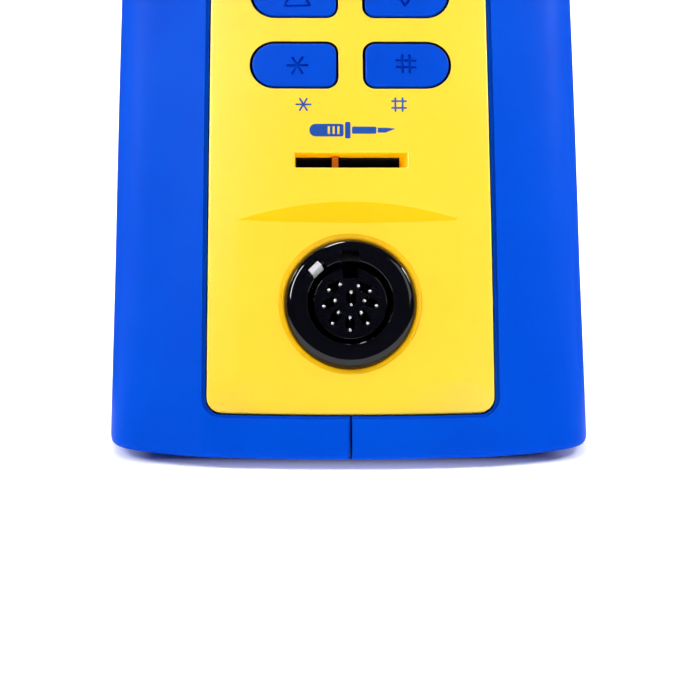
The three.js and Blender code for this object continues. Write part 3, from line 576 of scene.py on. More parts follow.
def panel_loop(grow):
    """The panel's outline in x and s, grown by a margin, counter-clockwise from the lower left."""
    half, r, foot, end = PANEL_HALF + grow, PANEL_R + grow, PANEL_FOOT - grow, PANEL_END + grow

    def front(points):
        return np.stack([points[:, 0], s_of_z(points[:, 1])], 1)

    def top(points):
        return np.stack([points[:, 0], s_of_y(points[:, 1] - bulge(points[:, 0]))], 1)

    across = half - r
    low_left, low_right = (front(arc(x, foot + r, r, a, a + 90, 12))
                           for x, a in ((-across, 180), (across, 270)))
    high_right, high_left = (top(arc(x, end - r, r, a, a + 90, 12))
                             for x, a in ((across, 0), (-across, 90)))
    foot_edge = front(straight((-across, foot), (across, foot), 24))
    end_edge = top(straight((across, end), (-across, end), 24))
    right = straight(low_right[-1], high_right[0], 190)
    left = straight(high_left[-1], low_left[0], 190)
    return np.concatenate([low_left, foot_edge, low_right, right, high_right, end_edge, high_left, left])


FOOT_PLACES = [(x, y) for y in (-46, 52) for x in (-31, 31)]
SCREW_PLACES = [(x, y) for y in (-34, 40) for x in (-28, 28)]
VENT_X, VENT_ROWS = 13, range(-20, 20, 8)
TONGUE_PLACES = [(32.6, 70, 106.6, 140), (50, 70, 0, 13.4)]  # y and z, clear of the rear opening
TONGUE_THICK = 0.3  # inside the wall
PARTING = 0.15  # from the middle to each half
STRIP_LIP = 0.3


def shell_tools():
    """What is cut out of the case: the rear opening, the feet's seats, screw holes and floor vents."""
    flat = [prism(circle(x, y, 5.8, 64), -1, 2.5) for x, y in FOOT_PLACES]
    for x, y in SCREW_PLACES:
        flat += [prism(circle(x, y, 1.9, 32), -1, 8), prism(circle(x, y, 3.5, 48), -1, 3.4)]
    flat += [prism(stadium(x, y, 16, 2.6, 0, 10), -1, 6) for x in (-VENT_X, VENT_X) for y in VENT_ROWS]
    return [prism(rounded(-28, 28, 14, 106, 3, 10), 56, 66), *map(upright, flat)]


def tongue(place, outer, x0, x1, play):
    """The case's wall near the parting line, under its outer skin, at one of the tongue's places."""
    y0, y1, z0, z1 = place
    part = make_object("tool", *body(outer))
    if not play:
        boolean(part, body(WALL + TONGUE_THICK))
    reach = block(x0, x1, y0 - play, y1 + play, z0 - play, z1 + play)
    return boolean(part, reach, "INTERSECT")


def build_shells():
    """The hollow case with the panel's opening and its sunk edge strip, cut into a left and a right half."""
    shell = make_object("shell_work", *body(0))
    boolean(shell, body(WALL))
    strip = [(panel_loop(STRIP_WIDTH + STRIP_LIP), -2, 0)]
    strip += edge_stack(lambda g: panel_loop(STRIP_WIDTH + g), STRIP_LIP, 0, STRIP_DEPTH, 0, outward=True)
    strip += [(panel_loop(GAP), STRIP_DEPTH, 0), (panel_loop(GAP), 6, 0)]
    boolean(shell, plate(strip))
    for tool in shell_tools():
        boolean(shell, tool)
    groove = rounded(-0.45, 0.18, 0.02, ALONG[-1] - 3, 0.05, 3, (260, 1))
    boolean(shell, plate([(groove, -1.5, 0), (groove, 0.4, 0)], spacing=0))
    for side, x0, x1 in (("left", -60, -PARTING), ("right", PARTING, 60)):
        half = in_scene(f"case_{side}", shell.data.copy())
        boolean(half, block(x0, x1, -90, 90, -5, 140), "INTERSECT")
        for place in TONGUE_PLACES:
            if side == "left":
                boolean(half, tongue(place, 0.8, -1.6, 1.4, 0), "UNION")
            else:
                boolean(half, tongue(place, 0.7, -0.5, 1.5, 0.1))
        hand_over(half, f"{side}_shell", "shell_blue", angle=11)
    bpy.data.objects.remove(shell)


# -------- front panel

PAD_SIDE = math.sqrt(2 * BULGE_R * PAD_DEPTH)  # where the flat pad meets the bulged face


def pad_recess(x, s):
    """How far the panel's face is sunk: a flat pad, a ramp over it and a strip down to the foot."""
    z = z_of_s(s)
    rise = bulge(x)
    ax = np.abs(x)
    flat = np.clip(PAD_DEPTH - rise, 0, None)
    ramp = np.clip(PAD_DEPTH * (PAD_RAMP_TOP - z) / (PAD_RAMP_TOP - PAD_TOP) - rise, 0, None)
    fall = (PAD_FOOT - z) / (PAD_FOOT - PANEL_FOOT)
    low_middle = (1 - fall) * (PAD_DEPTH - rise) + fall * FOOT_RECESS
    mitre = PAD_FOOT - (ax - PAD_SIDE) * MITRE_DROP
    low_side = np.clip(FOOT_RECESS * (mitre - z) / (PAD_FOOT - PANEL_FOOT), 0, None)
    low = np.where(ax < PAD_SIDE, low_middle, low_side)
    return np.where(z > PAD_TOP, ramp, np.where(z >= PAD_FOOT, flat, low))


def pad_lines():
    """The pad's creases, which the panel's triangles have to follow."""
    z = np.linspace(PAD_FOOT, PAD_TOP, 24)
    x = np.linspace(-PAD_SIDE, PAD_SIDE, 34)
    lines = []
    for sign in (-1, 1):
        lines.append(np.stack([np.full(22, sign * PAD_SIDE), s_of_z(z[1:-1])], 1))
        reach = np.linspace(0.3, 4.2, 6)
        lines.append(np.stack([sign * (PAD_SIDE + reach), s_of_z(PAD_FOOT - reach * MITRE_DROP)], 1))
    for level in (PAD_FOOT, PAD_TOP):
        lines.append(np.stack([x, np.full(len(x), s_of_z(level))], 1))
    arch = PAD_RAMP_TOP - (PAD_RAMP_TOP - PAD_TOP) * bulge(x[1:-1]) / PAD_DEPTH
    lines.append(np.stack([x[1:-1], s_of_z(arch)], 1))
    return lines


BUTTONS = [("up", -1, ROW_HIGH_Z), ("down", 1, ROW_HIGH_Z), ("star", -1, ROW_LOW_Z), ("hash", 1, ROW_LOW_Z)]
SLOT_LEFT, SLOT_RIGHT, SLOT_INNER_RIGHT, SLOT_HALF, SLOT_DEEP = -9.05, 9.5, 8.4, 1.3, 2.2
RIB = (-2.9, -1.85, 1.6, 4.8)  # in the card slot: x and depth
BORE_THROUGH = 9.8
BORE = [(11.72, 0), (11.68, 0.02), (11.64, 0.1), (11.6, 0.16), (11.3, 0.24), (11.0, 0.36), (10.88, 0.44),
        (10.85, 0.55), (10.85, 1.7), (BORE_THROUGH, 1.7)]  # radius and depth of the socket's seat


def button_loop(side, z, grow):
    cx = FEATURE_X + side * BUTTON_X
    half, tall = BUTTON_W / 2 + grow, BUTTON_H / 2 + grow
    out, into = BUTTON_OUT_R + grow, BUTTON_IN_R + grow
    radii = (into, into, out, out) if side < 0 else (out, out, into, into)
    return local_loop(rounded(cx - half, cx + half, -tall, tall, radii, 10, (6, 12)), z)


def slot_loop(grow, right):
    tall = SLOT_HALF + grow
    return local_loop(rounded(SLOT_LEFT - grow, right + grow, -tall, tall, 0.12 + grow, 4, (3, 20)), SLOT_Z)


def window_loop(half, tall, radius, grow):
    """A rounded window about the middle of the display, grown by a margin."""
    half, tall = half + grow, tall + grow
    return local_loop(rounded(-half, half, -tall, tall, radius + grow, 8, (12, 28)), WINDOW_Z)


def panel_kinds(panel):
    """Which finish each face takes: 0 the panel's own, 1 the bore's and the card slot's walls, painted with a
    glow, 2 the rib, painted darker as shade, 3 the ramp over the pad, painted a deeper yellow as shade, 4 the
    walls of the key holes, painted dark as shade."""
    centres = centres_of(panel)
    facing = np.array([tuple(face.normal) for face in panel.data.polygons])
    bore = moved(centres, face_matrix(SOCKET_Z).inverted())
    slot = moved(centres, face_matrix(SLOT_Z).inverted())
    in_bore = (np.hypot(bore[:, 0], bore[:, 2]) < BORE[0][0] - 0.01) & (np.abs(bore[:, 1]) < 5)
    in_slot = (np.abs(slot[:, 1]) < 6) & (np.abs(slot[:, 2]) < SLOT_HALF + 0.2)
    in_slot &= (slot[:, 0] > SLOT_LEFT - 0.2) & (slot[:, 0] < SLOT_RIGHT + 0.1)
    in_slot &= slot[:, 1] > bulge(slot[:, 0]) + 0.04
    in_rib = in_slot & (slot[:, 0] > RIB[0] - 0.1) & (slot[:, 0] < RIB[1] + 0.05) & (slot[:, 1] > RIB[2] - 0.05)
    in_ramp = np.abs(centres[:, 2] - (PAD_TOP + PAD_RAMP_TOP) / 2) < 2.4
    in_ramp &= (facing[:, 1] < -0.9) & (np.abs(facing[:, 2]) < 0.2)
    kinds = np.where(in_rib, 2, np.where(in_bore | in_slot, 1, np.where(in_ramp, 3, 0)))
    for _, side, z in BUTTONS:
        own = moved(centres, face_matrix(z).inverted())
        near = np.abs(own[:, 0] - FEATURE_X - side * BUTTON_X) < BUTTON_W / 2 + 0.3
        near &= np.abs(own[:, 2]) < BUTTON_H / 2 + 0.3
        kinds[near & (own[:, 1] > bulge(own[:, 0]) + 0.1) & (own[:, 1] < PANEL_THICK + 1)] = 4
    return kinds


def build_panel():
    holes = []
    for _, side, z in BUTTONS:
        holes.append(edge_stack(lambda g, side=side, z=z: button_loop(side, z, g)[::-1],
                                0.08, 0, PANEL_THICK, steps=3, outward=True))
    holes.append(edge_stack(lambda g: window_loop(18, 8.5, 2, g)[::-1], 0.3, 0, PANEL_THICK, outward=True))
    slot_levels = [(0.14, SLOT_RIGHT + 0.06, 0), (0.05, SLOT_RIGHT + 0.06, 0.05), (0, SLOT_RIGHT, 0.15),
                   (0, SLOT_INNER_RIGHT, SLOT_DEEP), (0, SLOT_INNER_RIGHT, PANEL_THICK)]
    holes.append([(slot_loop(grow, right)[::-1], depth, 0) for grow, right, depth in slot_levels])
    bore = [(local_loop(circle(0, 0, r), SOCKET_Z)[::-1], d, 1) for r, d in BORE]
    holes.append([*bore, (local_loop(circle(0, 0, BORE_THROUGH), SOCKET_Z)[::-1], 4.2, 0)])
    face = plate(edge_stack(panel_loop, 0.35, 0, PANEL_THICK), holes, 1.1, pad_lines(), pad_recess)
    rib = placed(block(*RIB, -1.45, 1.45), face_matrix(SLOT_Z))
    panel = make_object("panel", *merge_parts([face, rib]))
    hand_over(panel, "front_panel", "panel_yellow", angle=14)
    # The walls of the bore and the slot take a painted glow; the rib, the ramp and the key holes' walls take
    # painted shade.
    more_finishes(panel, panel_kinds(panel), "panel_painted_glow", "rib_painted_shade", "ramp_painted_shade", "panel_shade")


# -------- keys and their engraved signs

KEY_SLACK, KEY_PROUD, MARK_DEPTH, MARK_WIDTH = 0.12, 0.2, 0.45, 0.42
KEY_SIGNS = {"star": (-8.6, -0.05, 3.6), "hash": (9.45, 0.25, 3.45), "up": (-8.65, 0.0, 3.9),
             "down": (9.45, 0.0, 3.9)}  # x, height on the key, size


def stroke(a, b, width):
    """A bar from a to b with softly clipped ends."""
    a, b = np.asarray(a, float), np.asarray(b, float)
    d = (b - a) / np.linalg.norm(b - a)
    n = np.array([-d[1], d[0]]) * width / 2
    tip = d * width * 0.15
    side = n * 0.7
    loop = [a - n + tip, a - side, a + side, a + n + tip, b + n - tip, b + side, b - side, b - n - tip]
    return np.array(loop)[::-1]


def sign_strokes(kind, size):
    h = size / 2
    if kind == "star":
        return [((h * math.cos(a), h * math.sin(a)), (-h * math.cos(a), -h * math.sin(a)))
                for a in np.radians([0, 60, 120])]
    if kind == "hash":
        q = min(0.6, size * 0.235)
        return [((-h, q), (h, q)), ((-h, -q), (h, -q)), ((-q, -h), (-q, h)), ((q, -h), (q, h))]
    w, t = size * 0.56, size * 0.5
    flip = 1 if kind == "up" else -1
    corners = [(-w, -t * flip), (w, -t * flip), (0, t * flip)]
    return [(corners[i], corners[(i + 1) % 3]) for i in range(3)]


def build_buttons():
    for name, side, z in BUTTONS:
        levels = edge_stack(lambda g: button_loop(side, z, g - GAP - KEY_SLACK), 0.35, -KEY_PROUD, 4.0, steps=6)
        levels += [(button_loop(side, z, 0.6), 4.1, 0), (button_loop(side, z, 0.6), 4.9, 0)]
        cap = make_object(f"key_{name}", *plate(levels, spacing=0.9))
        cx, cz, size = KEY_SIGNS[name]
        depth = float(bulge(cx)) - KEY_PROUD + MARK_DEPTH
        for a, b in sign_strokes(name, size):
            loop = stroke((cx + a[0], cz + a[1]), (cx + b[0], cz + b[1]), MARK_WIDTH)
            boolean(cap, placed(prism(loop, -1.5, depth), face_matrix(z)))
        hand_over(cap, f"button_{name}", "key_blue", f"{name}_key", 20)


# -------- iron socket

RIM_R, RIM_ROUND, RIM_PROUD, GROOVE_R = 10.7, 1.6, 1.1, 6.95
CORE_FACE = -0.25
CONTACTS = {
    1: (-2.56, 2.69, 27), 2: (-3.41, 0.0, 28), 3: (-2.44, -2.38, 62), 4: (-0.1, -3.4, 90),
    5: (2.26, -2.42, -60), 6: (3.25, 0.04, -23), 7: (2.25, 2.47, -25), 8: (0.12, 0.8, 90),
}  # x, z and turn of each contact's slot
LATCH_TURN = Matrix.Rotation(math.radians(-45), 4, "Y")
LATCH_HALF = 1.1


def flange_profile():
    """Radius and depth of the socket ring: a flat face with a rounded rim."""
    rim = [(RIM_R - RIM_ROUND + RIM_ROUND * math.cos(a), RIM_ROUND * (1 - math.sin(a)) - RIM_PROUD)
           for a in np.radians(np.linspace(0, 90, 15))]
    inner = [(GROOVE_R + 0.08, 0.08 - RIM_PROUD), (GROOVE_R, 0.16 - RIM_PROUD)]
    return inner + [(GROOVE_R, 14), (9.5, 14), (9.5, 1.4), (RIM_R, 1.4)] + rim + inner[:1]


def build_flange(matrix):
    """The glossy ring with a sloped notch at the top and a sloped seat for the latch."""
    flange = make_object("iron_socket_ring", *placed(lathe(flange_profile(), 160), matrix))
    notch, notch_faces = prism(rounded(-1.55, 1.55, 5, 8.56, 0.15, 3), -3, -0.3)
    notch[:, 1] += np.where(notch[:, 1] > -1, (notch[:, 2] - GROOVE_R) * 0.8, 0)
    seat = prism(rounded(-1.48, 1.48, 6, 8.9, 0.12, 3), -3, 3.2)
    boolean(flange, placed((notch, notch_faces), matrix))
    boolean(flange, placed(placed(seat, LATCH_TURN), matrix))
    hand_over(flange, "socket_flange", "gloss_black", edge=0.07, segments=2)
    own = moved(centres_of(flange), matrix.inverted())
    in_notch = (np.abs(own[:, 0]) < 1.53) & (own[:, 2] > 0) & (own[:, 2] < 8.54)
    in_notch &= (own[:, 1] > 0.08 - RIM_PROUD) & (np.hypot(own[:, 0], own[:, 2]) > GROOVE_R + 0.02)
    more_finishes(flange, in_notch, "matt_black")


def build_core(matrix):
    """The round core with its key way and the eight slots of the contacts."""
    face = CORE_FACE
    profile = [(0, face), (5.8, face), (5.9, face + 0.04), (5.95, face + 0.14), (5.95, 7), (6.6, 7), (6.6, 13),
               (0, 13)]
    core = make_object("iron_socket_core", *placed(lathe(profile, 128), matrix))
    boolean(core, placed(prism(rounded(-1.2, 1.2, 4.14, 8, 0.12, 3), -2, 5), matrix))
    for x, z, angle in CONTACTS.values():
        boolean(core, placed(prism(stadium(x, z, 2.75, 1.55, angle), -2, 9), matrix))
    hand_over(core, "socket_insert", "gloss_black", edge=0.05, segments=2)


def build_contacts(matrix):
    """Springs in pairs on a foot, their rounded tips just under the core's face."""
    profile = [(0, -0.02), (0.18, 0.02), (0.3, 0.14), (0.34, 0.32), (0.3, 0.6), (0.16, 0.9), (0.16, 8.7),
               (0, 8.7)]
    points, faces = lathe(profile, 20)
    parts = [(points * (1, 1, 0.8) + (x, CORE_FACE + 0.1, 0), faces) for x in (-1.08, 1.08)]
    pair = merge_parts([*parts, block(-1.2, 1.2, 8.5, 8.9, -0.4, 0.4)])
    for number, (x, z, angle) in CONTACTS.items():
        turn = Matrix.Translation((x, 0, z)) @ Matrix.Rotation(-math.radians(angle), 4, "Y")
        contact = make_object(f"contact_spring_{number}", *placed(placed(pair, turn), matrix))
        hand_over(contact, f"contact_{number}", "nickel", angle=35)


def build_latch(matrix):
    tab = prism(rounded(-LATCH_HALF, LATCH_HALF, 7.7, 8.6, 0.1, 3), -0.9, -0.4)
    leg = block(-LATCH_HALF, LATCH_HALF, -0.6, 3.2, 8.25, 8.6)
    lip, lip_faces = block(-LATCH_HALF, LATCH_HALF, -0.85, -0.5, 7.2, 7.75)
    lip[:, 1] += (7.75 - lip[:, 2]) * 3
    shape = placed(merge_parts([tab, leg, (lip, lip_faces)]), LATCH_TURN)
    hand_over(make_object("iron_latch", *placed(shape, matrix)), "socket_latch", "nickel")


def build_socket():
    matrix = face_matrix(SOCKET_Z, PAD_DEPTH)
    build_flange(matrix)
    build_core(matrix)
    build_contacts(matrix)
    build_latch(matrix)


# -------- rear panel and mains pieces

PLATE_OUT, PLATE_THICK = 58.7, 1.9
LIP_Y = PLATE_OUT + GAP
INLET, SWITCH, FUSE, JACK = (-9, 27), (-9, 56), (19, 27), (19, 54)
INLET_PINS = {"live": (-7, -2, 4), "earth": (0, 2, 2.5), "neutral": (7, -2, 4)}  # x, z, depth of the tip
ROCKER_FACE_R = 29.64
ROCKER_AT = (-9, 57, 56)
ROCKER_REST = math.radians(-11)


def centred(at, width, height, radius, n=6):
    x, z = at
    return rounded(x - width / 2, x + width / 2, z - height / 2, z + height / 2, radius, n)


def build_rear_plate():
    holes = [centred(INLET, 27.6, 20.4, 1), centred(SWITCH, 13.6, 20.2, 0.5)]
    holes += [circle(*FUSE, 6.9, 64), circle(*JACK, 3.7, 48)]
    holes += [stadium(0, 75 + 5 * i, 36, 2.6, 0, 10) for i in range(6)]
    shape = prism(centred((0, 60), 60, 96, 2), PLATE_OUT - PLATE_THICK, PLATE_OUT, holes)
    hand_over(make_object("rear_cover", *shape), "rear_plate", "matt_black", edge=0.2)


def inlet_outline(grow=0.0):
    x, z = INLET
    half, low, high, cut = 12 + grow, z - 8.2 - grow, z + 8.2 + grow, 4
    return [(x - half, low), (x + half, low), (x + half, high - cut), (x + half - cut, high),
            (x - half + cut, high), (x - half, high - cut)]


def build_inlet():
    face = LIP_Y + 2
    inlet = make_object("mains_inlet", *prism(centred(INLET, 31, 24, 2, 10), LIP_Y, face))
    boolean(inlet, prism(centred(INLET, 27, 19.8, 1), face - 21, face - 1), "UNION")
    boolean(inlet, prism(inlet_outline(0.6), face - 0.6, face + 1))
    boolean(inlet, prism(inlet_outline(), face - 17.5, face + 1))
    hand_over(inlet, "inlet_body", "matt_black", edge=0.25)
    for name, (dx, dz, tip) in INLET_PINS.items():
        at = (INLET[0] + dx, INLET[1] + dz)
        pin = make_object(f"inlet_pin_{name}", *prism(centred(at, 2, 4, 0.2, 4), face - 27, face - tip))
        hand_over(pin, f"inlet_blade_{name}", "nickel", edge=0.4)


def rocker_front(z):
    """Depth of the rocker's hollow face at a height from its axis."""
    return 3.9 + ROCKER_FACE_R - np.sqrt(ROCKER_FACE_R**2 - np.asarray(z, float) ** 2)


def build_switch():
    face = LIP_Y + 1.8
    rim = make_object("rocker_frame", *prism(centred(SWITCH, 15.4, 22, 0.8), LIP_Y, face))
    boolean(rim, prism(centred(SWITCH, 13, 19.6, 0.4), face - 16, face - 1), "UNION")
    boolean(rim, prism(centred(SWITCH, 11, 18.3, 0.4), face - 10, face + 1))
    hand_over(rim, "switch_frame", "matt_black", edge=0.25)
    pose = Matrix.Translation(ROCKER_AT) @ Matrix.Rotation(ROCKER_REST, 4, "X")
    z = np.linspace(-8, 8, 25)
    back = [(-0.5, 7.4), (-3.5, 2.5), (-3.5, -2.5), (-0.5, -7.4)]
    side = np.concatenate([np.stack([rocker_front(z), z], 1), back])
    points, faces = prism(side[::-1], -5.2, 5.2)
    rocker = make_object("rocker_key", moved(points[:, [1, 0, 2]], pose), faces)
    hand_over(rocker, "switch_rocker", "gloss_black", "power_rocker", edge=0.35)
    bar = prism(rounded(-0.22, 0.22, 3.4, 6.0, 0.1, 3, (9, 1)), 0, 0.25)
    ring = prism(circle(0, -4.7, 1.35, 48), 0, 0.25, [circle(0, -4.7, 0.95, 48)[::-1]])
    points, faces = merge_parts([bar, ring])
    points[:, 1] += rocker_front(points[:, 2]) - 0.2
    hand_over(make_object("rocker_marks", moved(points, pose), faces), None, "nickel", "power_rocker")


def build_fuse_and_jack():
    holder = [(0, 34), (6.5, 34), (6.5, LIP_Y), (8.6, LIP_Y), (8.6, 60.6), (5.6, 60.6), (5.6, 36), (0, 36)]
    socket = make_object("fuse_socket", *shifted(lathe(holder), x=FUSE[0], z=FUSE[1]))
    hand_over(socket, "fuse_holder", "matt_black", edge=0.25)
    profile = [(0, 59.2), (3, 59.2), (3, 55), (5.2, 55), (5.2, 60.9), (7.2, 60.9), (7.2, 64.7)]
    profile += [(6.4 + 0.8 * math.cos(a), 64.7 + 0.8 * math.sin(a)) for a in np.radians((22, 45, 67, 90))]
    points, faces = lathe([*profile, (0, 65.5)], 192)
    turn = np.arctan2(points[:, 2], points[:, 0])
    outer = np.hypot(points[:, 0], points[:, 2]) > 7
    grip = np.where(outer, 1 - 0.04 * np.clip(np.cos(24 * turn), 0, 1) ** 3, 1)
    points[:, [0, 2]] *= grip[:, None]
    cap = make_object("fuse_knob_cap", *shifted((points, faces), x=FUSE[0], z=FUSE[1]))
    boolean(cap, block(FUSE[0] - 8, FUSE[0] + 8, 64.5, 66.5, FUSE[1] - 0.7, FUSE[1] + 0.7))
    hand_over(cap, "fuse_cap", "gloss_black", "fuse_knob")
    profile = [(0, 46), (3.4, 46), (3.4, LIP_Y), (5, LIP_Y), (5, 60.1), (4.7, 60.5), (4.2, 60.7), (3, 60.8)]
    profile += [(2.2, 60.8), (1.9, 60.6), (1.9, 48), (0, 48)]
    jack = make_object("holder_socket", *shifted(lathe(profile), x=JACK[0], z=JACK[1]))
    hand_over(jack, "holder_jack", "gloss_black")


# -------- display, feet and screws


def build_display():
    levels = edge_stack(lambda g: window_loop(17.7, 8.2, 1.7, g), 0.3, 0.5, 2.5)
    hand_over(make_object("display_pane", *plate(levels)), "display_window", "smoked_window", angle=14)


def build_underside():
    for number, (x, y) in enumerate(FOOT_PLACES, 1):
        profile = [(0, 0.3), (3.2, 0.3), (3.5, 0), (5.0, 0), (5.35, 0.12), (5.5, 0.45), (5.5, 2.2), (0, 2.2)]
        foot = make_object(f"rubber_foot_{number}", *shifted(lathe(profile, 72, "Z"), x, y))
        hand_over(foot, f"foot_{number}", "rubber_black")
    for number, (x, y) in enumerate(SCREW_PLACES, 1):
        profile = [(0, 1.7), (2.5, 1.7), (2.9, 1.82), (3.1, 2.1), (3.1, 3.1), (1.5, 3.1), (1.5, 10), (0, 10)]
        screw = make_object(f"screw_{number}", *shifted(lathe(profile, 64, "Z"), x, y))
        boolean(screw, block(x - 4, x + 4, y - 0.45, y + 0.45, 1, 2.4))
        hand_over(screw, f"case_screw_{number}", "steel")


# -------- printed signs

INK_UNDER, INK_OVER = 0.06, -0.02  # depths of a print's two sides
SIGN_ROW_Z, IRON_ROW_Z = 57.07, 52.95


def printed(name, loops_and_holes, z):
    """A thin print on the panel's face, which rides with the case and replaces nothing."""
    parts = []
    for loop, holes in loops_and_holes:
        outlines = [local_loop(one, z) for one in (loop, *(hole[::-1] for hole in holes))]
        sides = [[(one, depth, 0) for depth in (INK_OVER, INK_UNDER)] for one in outlines]
        parts.append(plate(sides[0], sides[1:], 0.5))
    made = make_object(name, *merge_parts(parts))
    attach(made, "station")
    paint(made, "ink_blue")


def build_prints():
    for kind, cx, size in (("star", -7.6, 2.65), ("hash", 8.2, 2.55)):
        loops = [(stroke((cx + a[0], a[1]), (cx + b[0], b[1]), 0.3), []) for a, b in sign_strokes(kind, size)]
        printed(f"print_{kind}", loops, SIGN_ROW_Z)
    handle = rounded(-6.6, -1.0, -1.1, 1.1, (0.35, 0.35, 1.0, 1.0), 6, (2, 9))
    grips = [rounded(x, x + 0.35, -0.7, 0.7, 0.1, 3, (2, 1)) for x in (-3.6, -2.8, -2.0)]
    collar = rounded(-0.75, 0.15, -1.45, 1.45, 0.25, 4, (4, 1))
    barrel = rounded(0.4, 4.4, -0.62, 0.62, 0.2, 4, (1, 7))
    tip = np.array([(4.65, -0.42), (5.9, -0.42), (7.4, 0.18), (7.4, 0.3), (5.9, 0.42), (4.65, 0.42)])
    printed("print_iron", [(handle, grips), (collar, []), (barrel, []), (tip, [])], IRON_ROW_Z)


# -------- materials

RELIEF = 0.3
# Two close colours in sRGB, roughness, and what differs from material()'s own values.
FINISHES = {
    "shell_blue": ((0, 73, 205), (0, 77, 209), 0.4, dict(grain=2600, bump=0.014, specular=0.015)),
    "key_blue": ((0, 69, 200), (0, 73, 204), 0.4, dict(grain=3200, bump=0.012, specular=0.05)),
    "panel_yellow": ((255, 213, 42), (255, 216, 48), 0.36, dict(specular=0.8)),
    # painted shade: the ramp over the pad is coloured a deeper, fuller yellow for how light falls on its slope
    "ramp_painted_shade": ((255, 200, 4), (255, 203, 8), 0.5, dict(specular=0.1)),
    # painted glow: the bore's and slot's walls get a deeper orange for light bounced between the yellow walls,
    # and an emission in build_materials
    "panel_painted_glow": ((255, 202, 0), (255, 206, 2), 0.45, dict(specular=0.3)),
    "panel_shade": ((44, 30, 4), (54, 38, 6), 0.6, dict(specular=0.1)),
    # painted shade: the rib is the panel's yellow, coloured dark orange-brown for the shade inside the card
    # slot
    "rib_painted_shade": ((190, 104, 6), (200, 112, 8), 0.5, dict(specular=0.2)),
    "gloss_black": ((8, 8, 14), (11, 11, 18), 0.06, dict(bump=0.0003, specular=0.35, uneven=0.015)),
    "matt_black": ((22, 22, 25), (28, 28, 31), 0.5, dict(bump=0.01)),
    "rubber_black": ((20, 20, 22), (30, 30, 32), 0.82, dict(bump=0.02)),
    "smoked_window": ((30, 4, 6), (36, 6, 8), 0.08, dict(bump=0.0005)),
    "steel": ((160, 164, 170), (180, 184, 188), 0.34, dict(metallic=0.7, bump=0.003)),
    "nickel": ((235, 235, 240), (245, 245, 248), 0.35, dict(metallic=0.35, bump=0.002)),
    "core_steel": ((90, 93, 97), (110, 112, 116), 0.5, dict(metallic=0.8, bump=0.01)),
    "winding_tape": ((220, 185, 70), (232, 200, 90), 0.45, dict(bump=0.01)),
    "board_green": ((26, 100, 58), (34, 116, 66), 0.4, {}),
    "aluminium": ((176, 180, 186), (196, 200, 204), 0.4, dict(metallic=0.7)),
    "fuse_glass": ((215, 224, 226), (230, 236, 238), 0.1, dict(bump=0.001)),
    "ink_blue": ((24, 74, 160), (30, 80, 166), 0.5, dict(bump=0.002, specular=0.15)),
    "paper": ((246, 246, 248), (250, 250, 252), 0.9, dict(blotch=4, grain=900, bump=0.002, specular=0.1)),
}
CAD_FINISH = {
    "matt_black": ("card_reader", "display_module", "capacitor", "microcontroller", "triac",
                   *(f"plunger_{name}" for name, *_ in BUTTONS)),
    "gloss_black": ("buzzer",),
    "steel": ("socket_nut", "chassis_plate", *(f"switch_{name}" for name, *_ in BUTTONS)),
    "core_steel": ("transformer_core",),
    "winding_tape": ("transformer_winding",),
    "board_green": ("main_board", "control_board"),
    "aluminium": ("heat_sink",),
    "fuse_glass": ("fuse",),
}


def srgb(*colour):
    """Linear RGBA from sRGB values of 0 to 255."""
    shares = [c / 255 for c in colour]
    return (*(c / 12.92 if c <= 0.04045 else ((c + 0.055) / 1.055) ** 2.4 for c in shares), 1)


def set_inputs(node, values):
    for key, value in values.items():
        node.inputs[key].default_value = value


def add_node(tree, kind, values=None, **settings):
    """A shader node with its settings, and with values for inputs given by name or number."""
    node = tree.nodes.new("ShaderNode" + kind)
    for key, value in settings.items():
        setattr(node, key, value)
    set_inputs(node, values or {})
    return node


def material(name, base, accent, rough, blotch=60, grain=3000, bump=0.004, metallic=0.0, specular=0.5,
             uneven=0.05):
    """A moulded or metal surface: two close colours in soft blotches, uneven roughness and a fine grain."""
    made = bpy.data.materials.new(name)
    made.use_nodes = True
    tree = made.node_tree
    shader = tree.nodes["Principled BSDF"]
    set_inputs(shader, {"Metallic": metallic, "Specular IOR Level": specular})
    link = tree.links.new
    place = add_node(tree, "TexCoord")
    mix = add_node(tree, "Mix", {6: srgb(*base), 7: srgb(*accent)}, data_type="RGBA")
    spread = add_node(tree, "MapRange", {"From Min": 0.35, "From Max": 0.65})
    patches = add_node(tree, "MapRange", {"To Min": rough - uneven, "To Max": rough + uneven})
    relief = add_node(tree, "Bump", {"Strength": RELIEF, "Distance": bump * MM})
    targets = (spread.inputs["Value"], patches.inputs["Value"], relief.inputs["Height"])
    for target, scale, detail in zip(targets, (blotch, blotch * 7, grain), (3, 2, 2)):
        noise = add_node(tree, "TexNoise", {"Scale": scale, "Detail": detail})
        link(place.outputs["Object"], noise.inputs["Vector"])
        link(noise.outputs["Fac"], target)
    link(spread.outputs["Result"], mix.inputs["Factor"])
    link(mix.outputs[2], shader.inputs["Base Color"])
    link(patches.outputs["Result"], shader.inputs["Roughness"])
    link(relief.outputs["Normal"], shader.inputs["Normal"])
    return made


def build_materials():
    made = {name: material(name, base, accent, rough, **rest)
            for name, (base, accent, rough, rest) in FINISHES.items()}
    # Painted glow: the deep walls of the bore and the card slot glow orange, standing in for light bounced off
    # the yellow around them, more than a short light path gives.
    deep = made["panel_painted_glow"].node_tree.nodes["Principled BSDF"]
    set_inputs(deep, {"Emission Color": srgb(255, 160, 0), "Emission Strength": 0.16})
    return made


# -------- stage and light

FOOTPRINT = (0.0325, 0.056, 0)  # half of what stands on the paper, in metres
GLOW_AND_SHADOW_RAMPS = ((0.0, 0.0125, 0.5), (0.03, 1.2, 0.5))  # metres from the footprint, start and end, and the rise; the first ramp keeps the paper dark next to the footprint as a painted contact shadow
WORLD_BASE, WORLD_SIDES = 0.285, 0.9
LIT_MIDDLE = Vector((0, 0, 0.05))


